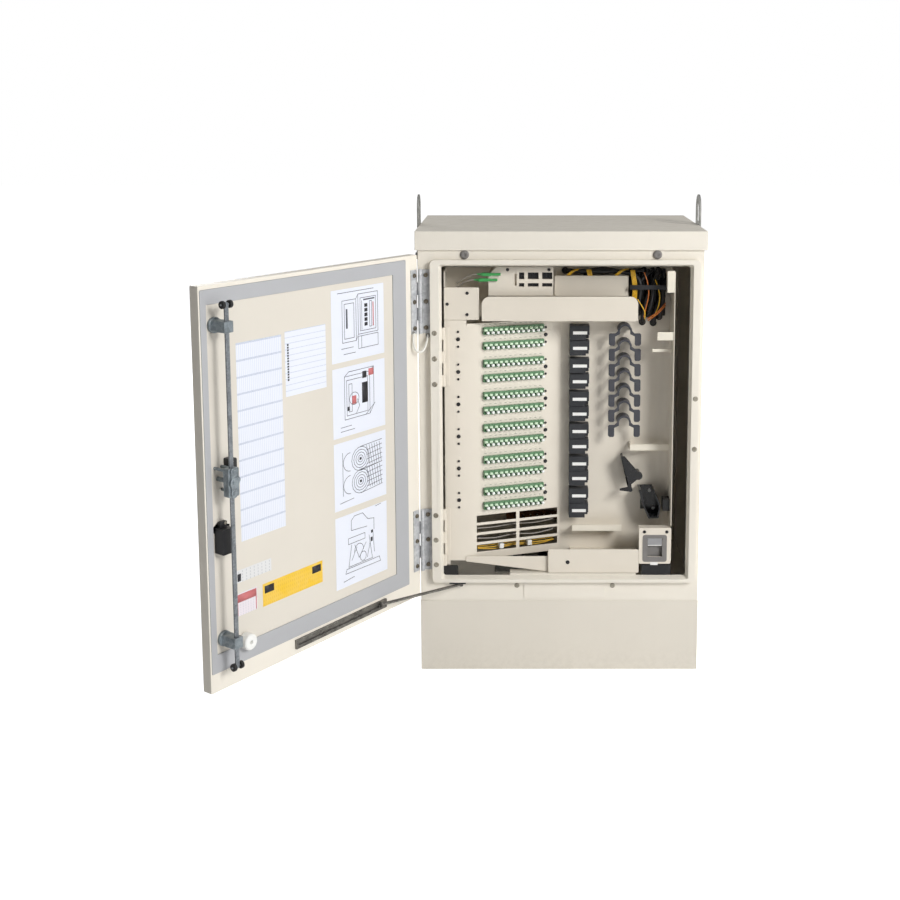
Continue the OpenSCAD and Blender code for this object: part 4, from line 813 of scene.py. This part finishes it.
def ring(u, v, r, aspect=1.0, steps=14, start=0, stop=360):
    turns = [math.radians(start + (stop - start) * i / steps) for i in range(steps + 1)]
    return [(u + r * math.cos(turn), v + r * aspect * math.sin(turn)) for turn in turns]


def drawing(index):
    """Generic line drawings in card units: u from the free edge, v upwards. Returns (lines, solids)."""
    if index == 2:
        lines = [rectangle(.50, .34, .88, .90), rectangle(.54, .38, .84, .84), rectangle(.20, .26, .46, .84),
                 rectangle(.24, .31, .42, .79), rectangle(.50, .14, .88, .31), [(.46, .26), (.50, .34)],
                 [(.46, .84), (.50, .90)], rectangle(.72, .42, .76, .78), [(.57, .40), (.57, .80)],
                 [(.18, .18), (.40, .18)], [(.22, .10), (.44, .10)], [(.12, .95), (.80, .95)],
                 [(.56, .14), (.56, .31)]]
        solids = [(.62, .44 + .066 * i, .68, .49 + .066 * i, "ink_dark") for i in range(5)]
        solids += [(.27, .45, .30, .72, "ink"), (.60, .80, .82, .82, "ink"), (.78, .42, .80, .76, "ink_red")]
    elif index == 3:
        lines = [rectangle(.22, .24, .70, .86), rectangle(.26, .29, .66, .80),
                 [(.22, .86), (.30, .92), (.78, .92), (.70, .86)], [(.78, .92), (.78, .36), (.70, .24)],
                 ring(.40, .52, .09, 1.0), [(.62, .24), (.80, .38)], [(.14, .14), (.34, .14)],
                 [(.14, .08), (.40, .08)], [(.44, .30), (.50, .40), (.46, .50)],
                 rectangle(.30, .34, .36, .74)]
        solids = [(.55, .42, .66, .72, "ink_dark"), (.56, .78, .64, .88, "ink_dark"),
                  (.68, .80, .78, .90, "ink_red"), (.36, .44, .44, .56, "ink_red"),
                  (.27, .36, .31, .42, "ink_dark")]
    elif index == 4:
        lines = []
        for v in (.68, .34):
            for r in (.17, .13, .09, .05):
                lines.append(ring(.50, v, r, 1.05))
            lines += [ring(.30, v, .13, 1.05, 10, 90, 270), [(.50, v + .18), (.92, v + .20)],
                      [(.50, v - .18), (.92, v - .14)]]
            lines += [[(.62 + .05 * i, v + .17), (.68 + .045 * i, v - .13)] for i in range(6)]
            lines += [[(.62, v + .10 - .07 * i), (.92, v + .13 - .07 * i)] for i in range(4)]
        lines += [[(.16, .20), (.16, .84)], [(.10, .10), (.36, .12)]]
        solids = [(.48, .66, .52, .70, "ink_dark"), (.48, .32, .52, .36, "ink_dark")]
    else:
        lines = [[(.30, .76), (.30, .90), (.36, .95), (.52, .95), (.62, .84), (.74, .82), (.74, .66)],
                 [(.30, .76), (.60, .74)], rectangle(.24, .58, .56, .66),
                 [(.30, .56), (.24, .26), (.70, .26), (.64, .60)],
                 [(.20, .24), (.84, .24), (.86, .17), (.18, .18), (.20, .24)],
                 ring(.44, .44, .09, 1.1, 12, 0, 180),
                 ring(.52, .34, .06, 1.1, 10), [(.36, .54), (.44, .34), (.58, .52)], [(.30, .34), (.40, .50)],
                 [(.60, .30), (.66, .50)], [(.72, .62), (.74, .34)], [(.78, .98), (.88, .99)],
                 [(.14, .08), (.34, .10)]]
        solids = [(.68, .62, .72, .66, "ink_dark"), (.67, .50, .71, .56, "ink_dark")]
    return lines, solids


class CABINET_OT_cards(bpy.types.Operator):
    """Builds the laminated cards on the door with their tables, line drawings and plain colour fields"""
    bl_idname = "cabinet.cards"
    bl_label = "Door cards"

    def execute(self, context):
        wide = context.scene.cabinet_sizes.line
        for index, coat_name in enumerate(CARD_COATS):
            self.blank_card(index, coat_name)
        inks = {"ink": bmesh.new(), "ink_dark": bmesh.new(), "ink_red": bmesh.new()}
        for index in (2, 3, 4, 5):
            lines, solids = drawing(index)
            for line in lines:
                for start, stop in zip(line, line[1:]):
                    print_line(inks["ink"], on_card(index, *start), on_card(index, *stop), wide)
            for u0, v0, u1, v1, ink in solids:
                print_field(inks[ink], index, u0, v0, u1, v1)
        for i in range(LIST_MARKS):
            low = .24 + (.82 - .24) * i / LIST_MARKS
            print_field(inks["ink_dark"], 1, .05, low, .09, low + LIST_MARK)
        for index, u0, v0, u1, v1, ink in FIELDS:
            print_field(inks[ink], index, u0, v0, u1, v1)
        for ink, bm in inks.items():
            new_piece("card_print_" + ink, bm, "door", ink, weighted=False)
        return {"FINISHED"}

    def blank_card(self, index, coat_name):
        """A thin card with its own UV map from the free edge and its foot."""
        x0, x1, z0, z1 = card_box(index)
        bm = bmesh.new()
        block(bm, (x0, CARD_BACK, z0), (x1, CARD_FRONT, z1), 0.00012, segments=1)
        uv = bm.loops.layers.uv.new("card")
        for face in bm.faces:
            for loop in face.loops:
                at = loop.vert.co
                loop[uv].uv = ((x1 - at.x) / (x1 - x0), (at.z - z0) / (z1 - z0))
        bmesh.ops.transform(bm, matrix=DOOR, verts=bm.verts)
        replaces = ("door_cards",) if index == 0 else ()
        new_piece("card_%d" % (index + 1), bm, "door", coat_name, replaces)


class CABINET_OT_chassis(BuildPieces, bpy.types.Operator):
    """Finishes the swing-out chassis and its sheet-metal fittings"""
    bl_idname = "cabinet.chassis"
    bl_label = "Chassis"
    table = CHASSIS_PARTS

    def execute(self, context):
        self.finish_all(context)
        self.finger_cup()
        self.cup_frame()
        bm = bmesh.new()
        block(bm, (0.2258, FRONT + 0.0026, 0.3312), (0.2612, FRONT + 0.0036, 0.3330), 0.0004)
        new_piece("paddle_ridge", bm, frame["nodes"]["latch_paddle"]["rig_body"], "white")
        self.module_inserts()
        bm = bmesh.new()
        block(bm, (0.2325, FRONT + 0.0023, 0.2800), (0.2520, FRONT + 0.0030, 0.2875), 0.0002)
        new_piece("latch_tab", bm, "chassis", "white")
        return {"FINISHED"}

    def finger_cup(self):
        """The back wall, sides and foot of the finger recess."""
        bm = bmesh.new()
        low, high = Vector((0.2225, FRONT + 0.0125, 0.2990)), Vector((0.2645, FRONT + 0.0135, 0.3300))
        block(bm, low, high, 0.0003)
        for x in (low.x, high.x - 0.001):
            block(bm, (x, FRONT + 0.006, low.z), (x + 0.001, low.y, high.z), 0.0003)
        block(bm, (low.x, FRONT + 0.006, low.z), (high.x, low.y, low.z + 0.001), 0.0003)
        new_piece("finger_cup", bm, "chassis", "grey_plug")

    def module_inserts(self):
        """Two dark steps behind each window of the splitter cassette."""
        bm = bmesh.new()
        for x0, x1 in ((-0.104, -0.091), (-0.082, -0.055), (-0.046, -0.0205)):
            for z0, z1 in ((1.016, 1.033), (0.997, 1.006)):
                block(bm, (x0 + 0.0002, FRONT + 0.0375, z0 + 0.0002),
                      (x1 - 0.0002, FRONT + 0.0418, z1 - 0.0002), 0.0006)
                block(bm, (x0 + 0.0015, FRONT + 0.0355, z0 + 0.0015),
                      (x1 - (x1 - x0) * 0.55, FRONT + 0.0378, z1 - 0.0015), 0.0006)
        new_piece("module_inserts", bm, "chassis", "gloss_black")

    def cup_frame(self):
        """The moulded frame round the finger recess: a pierced plate with round outer corners."""
        across, up = (0.2125, 0.2243, 0.2627, 0.2745), (0.2885, 0.3023, 0.3512, 0.3600)
        bm = bmesh.new()
        bmesh.ops.create_grid(bm, x_segments=3, y_segments=3, size=1.5)
        for vert in bm.verts:
            column, row = int(vert.co.x + 1.6), int(vert.co.y + 1.6)
            vert.co = (across[column], FRONT + 0.0023, up[row])
        middle = [f for f in bm.faces if across[1] < f.calc_center_median().x < across[2]
                  and up[1] < f.calc_center_median().z < up[2]]
        bmesh.ops.delete(bm, geom=middle, context="FACES")
        grown = bmesh.ops.extrude_face_region(bm, geom=list(bm.faces))["geom"]
        back = [g for g in grown if isinstance(g, bmesh.types.BMVert)]
        bmesh.ops.translate(bm, vec=(0.0, 0.0007, 0.0), verts=back)
        xs, zs = [v.co.x for v in bm.verts], [v.co.z for v in bm.verts]
        sides, ends = (min(xs), max(xs)), (min(zs), max(zs))
        corners = [e for e in bm.edges if all(v.co.x in sides and v.co.z in ends for v in e.verts)]
        bmesh.ops.bevel(bm, geom=corners, offset=0.006, offset_type="OFFSET", segments=6, profile=0.5,
                        affect="EDGES", clamp_overlap=True, material=-1)
        bmesh.ops.recalc_face_normals(bm, faces=bm.faces)
        rims = [e for e in bm.edges if len(e.link_faces) == 2 and e.calc_face_angle(0.0) > math.radians(60)]
        bmesh.ops.bevel(bm, geom=rims, offset=0.0002, offset_type="OFFSET", segments=2, profile=0.5,
                        affect="EDGES", clamp_overlap=True, material=-1)
        new_piece("cup_frame", bm, "chassis", "grey_plug")


class CABINET_OT_adapters(bpy.types.Operator):
    """Finishes the adapter rows and adds their white dust caps, printed ticks and pale green faces that paint a
    highlight on the green
    """
    bl_idname = "cabinet.adapters"
    bl_label = "Adapters"

    def execute(self, context):
        sizes = context.scene.cabinet_sizes
        finished("adapters", 0.00025, "green")
        faces, caps, ticks = bmesh.new(), bmesh.new(), bmesh.new()
        for row, z in enumerate(ROWS):
            for i in range(ROW_COUNT):
                left = ROW_START + i * ADAPTER
                port = left + 0.0050
                # a pale green block on the upper front of each adapter: a painted highlight
                block(faces, (port - 0.0047, -0.0135, z + 0.0088),
                      (port + 0.0047, -0.0035, z + 0.0150), 0.0022, PANEL)
                cap = left + 0.0098
                block(caps, (cap - sizes.cap_width / 2, -0.009 - sizes.cap_reach, z + 0.0018),
                      (cap + sizes.cap_width / 2, -0.0035, z + 0.0086), 0.0020, PANEL)
                block(ticks, (left + 0.0035, -0.00012, z + ROW_HEIGHT + 0.0055),
                      (left + 0.0095, 0.0, z + ROW_HEIGHT + 0.0068), 0.0, PANEL)
        new_piece("adapter_highlight_faces", faces, "chassis", "pale_green")
        new_piece("dust_caps", caps, "chassis", "cap")
        new_piece("panel_ticks", ticks, "chassis", "tick", weighted=False)
        return {"FINISHED"}


class CABINET_OT_guides(BuildPieces, bpy.types.Operator):
    """Finishes the retainers, labels, spools, bend guides and fingers"""
    bl_idname = "cabinet.guides"
    bl_label = "Fibre guides"
    table = GUIDE_PARTS

    def execute(self, context):
        self.finish_all(context)
        bm = bmesh.new()
        toward = Vector((0, -1, 0))
        for x, z in ((0.236, 0.452), (0.247, 0.404)):
            disc(bm, (x, BACK_PLATE - 0.0080, z), toward, 0.0042, 0.0026, 20, 0.0008)
        new_piece("guide_screws", bm, "chassis", "white")
        return {"FINISHED"}


# points listed: millimetres across, from the tube wall forwards as -y, and up
TUBE_ROUTES = [
    [[64, -20, 1008], [72, -12, 1026], [110, -7, 1033], [160, -7, 1027], [208, -7, 1030], [215, -1, 1030]],
    [[180, -1, 916], [182, -9, 926], [186, -14, 950], [193, -22, 985], [212, -18, 1012], [233, -8, 1027],
     [238, -1, 1029]],
    [[213, -1, 896], [214, -9, 906], [216, -16, 935], [224, -20, 970], [240, -12, 998], [259, -8, 1016],
     [264, -1, 1019]],
    [[241, -1, 894], [242, -8, 904], [246, -14, 935], [258, -14, 965], [270, -8, 988], [273, -1, 993]],
    [[14, -8, 1030], [40, -24, 1030.5], [100, -26, 1030.5], [160, -27, 1030], [196, -32, 1016],
     [204, -34, 988], [201, -28, 955], [199, -14, 928], [199, -1, 922]],
    [[252, -1, 1030], [250, -18, 1026], [238, -32, 1004], [236, -34, 978], [232, -32, 950], [228, -22, 926],
     [228, -1, 916]],
    [[276, -1, 1010], [273, -14, 1006], [262, -30, 986], [262, -32, 958], [257, -30, 934], [256, -18, 916],
     [256, -1, 910]]]
FIBRE_ROUTES = [
    ("orange", [(212, -46, 1030), (220, -50, 1006), (224, -46, 975), (219, -40, 944), (214, -30, 914)]),
    ("orange", [(268, -42, 952), (252, -46, 934), (238, -44, 922), (222, -38, 910)]),
    ("orange", [(268, -42, 946), (252, -46, 929), (238, -44, 917), (224, -38, 906)]),
    ("yellow", [(240, -46, 1012), (247, -50, 992), (252, -47, 970), (250, -40, 944), (240, -30, 916)]),
    ("yellow", [(196, -46, 962), (206, -50, 946), (214, -47, 930), (216, -36, 910)])]
SHORT_LOOP = [(68, -36, 1036), (71, -38, 1022), (76, -28, 1006), (80, -12, 996)]
LONG_LOOP = [(178, -44, 1036), (181, -46, 1016), (184, -46, 996), (184, -42, 966), (182, -30, 934),
             (182, -14, 912)]
HUMP = [(0, -20, 1008), (8, -36, 1022), (20, -38, 1033), (36, -20, 1036)]
STRAND_PITCH = 3.1
# jacket, height and sag of each fibre behind the slots
SLOT_FIBRES = [("yellow", 0.3150, 0.004), ("yellow", 0.3130, 0.008), ("yellow", 0.3185, 0.002),
               ("grey_fibre", 0.3395, 0.006), ("grey_fibre", 0.3655, 0.003), ("cable", 0.3420, 0.009)]


def shifted(points, across):
    return [(x + across, y, z) for x, y, z in points]


def on_wall(points):
    """A route in millimetres from the tube wall as places in metres."""
    return [(x * MM, TUBE_WALL + y * MM, z * MM) for x, y, z in points]


class CABINET_OT_cables(bpy.types.Operator):
    """Routes the black tubes, the yellow and orange fibres and the green connectors"""
    bl_idname = "cabinet.cables"
    bl_label = "Cables"

    def execute(self, context):
        radius = context.scene.cabinet_sizes.fibre / 2
        self.tubes()
        routes = list(FIBRE_ROUTES)
        for strand in range(4):
            routes.append(("yellow", shifted(SHORT_LOOP, strand * STRAND_PITCH)))
            routes.append(("yellow", shifted(LONG_LOOP, strand * STRAND_PITCH)))
        for start in (10, 132):
            for strand in range(3):
                routes.append(("yellow", shifted(HUMP, start + strand * STRAND_PITCH)))
        for i, (shade, points) in enumerate(routes):
            cord_piece("top_fibre_%d" % (i + 1), on_wall(points), radius, shade)
        # Nine black stubs, nearly touching, fill the area behind the tubes: a stand-in for the unseen deeper
        # cables that also paints the deep shade there.
        bm = bmesh.new()
        for i in range(9):
            foot = 0.9080 + 0.0060 * (i * 2 % 3)
            stub = (0.1820 + 0.0105 * i, TUBE_WALL - 0.0068, foot)
            disc(bm, stub, (0, 0, 1), 0.0050, 1.0350 - foot, 14, 0.0010)
        new_piece("cable_stand_in_shade", bm, "chassis", "cable")
        bm = bmesh.new()
        block(bm, (0.176, TUBE_WALL - 0.0535, 0.9870), (0.268, TUBE_WALL - 0.0505, 0.9990), 0.0010)
        new_piece("tube_strap", bm, "chassis", "black")
        for i, (shade, z, sag) in enumerate(SLOT_FIBRES):
            line = [PANEL @ Vector((t, 0.0045 + dy + 0.0012 * i, z + dz)) for t, dy, dz in (
                (0.030, 0.006, 0.0), (0.080, 0.012, -sag), (0.135, 0.015, -sag / 2), (0.190, 0.012, -sag),
                (0.240, 0.006, 0.001 * i))]
            cord_piece("slot_fibre_%d" % (i + 1), line, radius, shade)
        bm = bmesh.new()
        for t in (0.088, 0.165):
            block(bm, (t, 0.0030, 0.3080), (t + 0.012, 0.0190, 0.3215), 0.0010, PANEL, 1)
        new_piece("fibre_ties", bm, "chassis", "white")
        self.connectors()
        return {"FINISHED"}

    def tubes(self):
        """Seven ridged black tubes, with a grommet where each comes off the tube wall."""
        for i, points in enumerate(TUBE_ROUTES):
            line = on_wall(points)
            replaces = ("cable_bundles",) if i == 0 else ()
            cord_piece("black_tube_%d" % (i + 1), line, 0.0060, "cable", replaces, ridge=0.0005, sides=14)
            for end in (line[:1] if i else []) + line[-1:]:
                bm = bmesh.new()
                disc(bm, (end[0], TUBE_WALL, end[2]), (0, -1, 0), 0.0088, 0.0030, 24, 0.0010)
                name = "tube_grommet_%d_%d" % (i + 1, int(end[2] * 1000))
                new_piece(name, bm, "chassis", "rubber")

    def connectors(self):
        """Two green connectors, each with its keyed front, boot and tail."""
        front = FRONT + 0.021
        bodies, boots = bmesh.new(), bmesh.new()
        for i in (0, 1):
            x = (-206 + i * 8) * MM
            z = (1011 + i * 14) * MM
            block(bodies, (x, front, z), (x + 0.024, front + 0.009, z + 0.008), 0.0009)
            block(bodies, (x + 0.003, front - 0.0007, z + 0.0018), (x + 0.019, front, z + 0.0062), 0.0003)
            block(bodies, (x + 0.024, front + 0.0015, z + 0.001),
                  (x + 0.048, front + 0.009, z + 0.007), 0.0006)
            disc(boots, (x, front + 0.0045, z + 0.004), (-1, 0.2, 0), 0.0030, 0.014, 14, 0.0004, 0.0018)
            line = [(x - 0.002, front + 0.0045, z + 0.004), (x - 0.020, front + 0.008, z + 0.003),
                    (x - 0.040, front + 0.016, z - 0.006), (-0.262, FRONT + 0.050, z - 0.022)]
            cord_piece("connector_tail_%d" % (i + 1), line, 0.0015, "grey_fibre")
        new_piece("green_connectors", bodies, "chassis", "connector", ("fibre_connectors",))
        new_piece("connector_boots", boots, "chassis", "connector")


class CABINET_OT_ground_strap(bpy.types.Operator):
    """Builds the ground strap, which runs between the cabinet and the door, with a ring lug at each end"""
    bl_idname = "cabinet.ground_strap"
    bl_label = "Ground strap"

    def execute(self, context):
        def door_spot(x, h, z):
            return DOOR @ Vector((x, h, z))
        points = [door_spot(0.020, 0.00644, 0.889), door_spot(0.0234, 0.00644, 0.876),
                  door_spot(0.0247, 0.0098, 0.856), HINGE + Vector((-0.0045, -0.020, 0.842)),
                  HINGE + Vector((0.0085, -0.014, 0.846)),
                  HINGE + Vector((0.0155, -0.004, 0.864)), HINGE + Vector((0.0185, 0.0064, 0.880))]
        radius = context.scene.cabinet_sizes.strap / 2
        line = smooth_path(points, 30)
        bm = bmesh.new()
        tube(bm, line, radius, 14)
        piece = new_piece("ground_strap_loop", bm, "cabinet", "strap", ("ground_strap",),
                          weighted=False)
        # the loop doesn't ride on one body: it is taken off its parent and its place baked into its mesh
        piece.parent = None
        del piece["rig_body"]
        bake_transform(piece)
        for name, spot, body, way, wide in (
                ("strap_lug_moving", line[0], "door", DOOR.to_3x3() @ Vector((0, 1, 0)), 0.0040),
                ("strap_lug_fixed", line[-1], "cabinet", Vector((0, -1, 0)), 0.0058)):
            bm = bmesh.new()
            disc(bm, spot - way * 0.0024, way, wide, 0.0016, 24, 0.0004)
            disc(bm, spot - way * 0.0008, way, 0.0036, 0.0030, 6, 0.0004)
            new_piece(name, bm, body, "plate")
        return {"FINISHED"}


# ---------------------------------------------------------------- stage
# powers in watts, the room's as a strength; the flag darkens the room from the left and the front
ROOM_LIGHT, KEY_LIGHT, FILL_LIGHT, TOP_LIGHT, BACK_LIGHT = 0.30, 172.0, 27.0, 2.0, 75.0
FLAG_SIDE, FLAG_SHARE = (-0.58, -0.81, 0.0), 0.75
FLOOR_GREY, FLOOR_PALE, FLOOR_GLOW = (0.93, 0.93, 0.93, 1), (0.95, 0.95, 0.95, 1), (0.82, 0.82, 0.82, 1)


def area_light(name, at, target, size, power, shade=(1.0, 1.0, 1.0)):
    lamp = bpy.data.lights.new(name, "AREA")
    lamp.shape = "RECTANGLE"
    lamp.size, lamp.size_y = size
    lamp.energy = power
    lamp.color = shade
    holder = bpy.data.objects.new(name, lamp)
    bpy.context.scene.collection.objects.link(holder)
    holder.location = at
    holder.rotation_euler = (Vector(target) - Vector(at)).to_track_quat("-Z", "Y").to_euler()


class CABINET_OT_stage(bpy.types.Operator):
    """Sets the pale floor, the soft lights and the camera"""
    bl_idname = "cabinet.stage"
    bl_label = "Stage"

    def execute(self, context):
        self.floor()
        self.room()
        area_light("key", (2.9, -3.6, 3.0), (0.0, -0.2, 0.6), (1.5, 1.5), KEY_LIGHT, (1.0, 0.994, 0.982))
        area_light("fill", (3.3, -2.6, 0.7), (0.0, -0.2, 0.6), (1.6, 1.6), FILL_LIGHT, (0.97, 0.98, 1.0))
        area_light("back", (-2.6, 3.6, 2.6), (0.0, 0.2, 0.6), (2.2, 2.2), BACK_LIGHT)
        area_light("top", (0.2, 0.0, 3.8), (0.0, 0.0, 0.6), (2.6, 2.6), TOP_LIGHT)
        self.camera()
        settings = context.scene.view_settings
        settings.view_transform = "Standard"
        settings.look = "None"
        settings.exposure = 0.0
        return {"FINISHED"}

    def floor(self):
        """A pale floor that looks white to the camera and still takes shadows."""
        material, tree, shader = blank("stage_paper")
        shader.inputs["Roughness"].default_value = 0.9
        shader.inputs["Specular IOR Level"].default_value = 0.1
        clouds = noise(tree, stretched(tree, (1, 1, 1)), 3.0)
        tree.links.new(mixed(tree, clouds, FLOOR_GREY, FLOOR_PALE), shader.inputs["Base Color"])
        path = tree.nodes.new("ShaderNodeLightPath")
        glow = mixed(tree, path.outputs["Is Camera Ray"], (0, 0, 0, 1), FLOOR_GLOW)
        tree.links.new(glow, shader.inputs["Emission Color"])
        shader.inputs["Emission Strength"].default_value = 1.0
        bm = bmesh.new()
        bmesh.ops.create_grid(bm, x_segments=8, y_segments=8, size=20.0)
        mesh = bpy.data.meshes.new("pale_floor")
        for face in bm.faces:
            face.smooth = True
        bm.to_mesh(mesh)
        bm.free()
        mesh.materials.append(material)
        floor = bpy.data.objects.new("pale_floor", mesh)
        bpy.context.scene.collection.objects.link(floor)
        floor.location = (0, 0, -0.0005)

    def room(self):
        """A soft white room, darker from the flag's side, and plain white to the camera."""
        world = bpy.data.worlds.new("soft_room")
        world.use_nodes = True
        tree = world.node_tree
        path = tree.nodes.new("ShaderNodeLightPath")
        direction = tree.nodes.new("ShaderNodeTexCoord")
        dot = tree.nodes.new("ShaderNodeVectorMath")
        dot.operation = "DOT_PRODUCT"
        dot.inputs[1].default_value = FLAG_SIDE
        tree.links.new(direction.outputs["Generated"], dot.inputs[0])
        lit = spread(tree, dot.outputs["Value"], 0.35, 0.80, ROOM_LIGHT, ROOM_LIGHT * (1.0 - FLAG_SHARE))
        seen = path.outputs["Is Camera Ray"]
        strength = math_node(tree, "MULTIPLY_ADD", seen, math_node(tree, "SUBTRACT", 1.0, lit), lit)
        tree.nodes["Background"].inputs["Color"].default_value = (1.0, 1.0, 1.0, 1.0)
        tree.links.new(strength, tree.nodes["Background"].inputs["Strength"])
        bpy.context.scene.world = world

    def camera(self):
        lens = bpy.data.cameras.new("view")
        lens.sensor_width = 36.0
        lens.lens = 51.25
        lens.shift_x = -0.07357
        lens.shift_y = -0.18207
        lens.clip_start, lens.clip_end = 0.05, 60.0
        camera = bpy.data.objects.new("view", lens)
        bpy.context.scene.collection.objects.link(camera)
        camera.location = (-0.11105, -3.38306, 1.4459)
        camera.rotation_euler = (math.radians(82.0), 0.0, 0.0)
        bpy.context.scene.camera = camera


# ---------------------------------------------------------------- add-on
ORDER = [CABINET_OT_materials, CABINET_OT_enclosure, CABINET_OT_hinges, CABINET_OT_door, CABINET_OT_latch,
         CABINET_OT_cards, CABINET_OT_chassis, CABINET_OT_adapters, CABINET_OT_guides, CABINET_OT_cables,
         CABINET_OT_ground_strap, CABINET_OT_stage]


class CABINET_PT_panel(bpy.types.Panel):
    bl_idname = "CABINET_PT_panel"
    bl_label = "Fibre cabinet"
    bl_space_type = "VIEW_3D"
    bl_region_type = "UI"
    bl_category = "Cabinet"

    def draw(self, context):
        for settings in (context.scene.cabinet_sizes, context.scene.cabinet_colours):
            box = self.layout.box()
            for key in settings.__annotations__:
                box.prop(settings, key)
        for operator in ORDER:
            self.layout.operator(operator.bl_idname)


def register():
    for cls in (CabinetSizes, CabinetColours, *ORDER, CABINET_PT_panel):
        bpy.utils.register_class(cls)
    bpy.types.Scene.cabinet_sizes = PointerProperty(type=CabinetSizes)
    bpy.types.Scene.cabinet_colours = PointerProperty(type=CabinetColours)


def unregister():
    del bpy.types.Scene.cabinet_colours
    del bpy.types.Scene.cabinet_sizes
    for cls in (CABINET_PT_panel, *reversed(ORDER), CabinetColours, CabinetSizes):
        bpy.utils.unregister_class(cls)


def main():
    register()
    for operator in ORDER:
        area, step = operator.bl_idname.split(".")
        getattr(getattr(bpy.ops, area), step)()


if __name__ == "__main__":
    main()
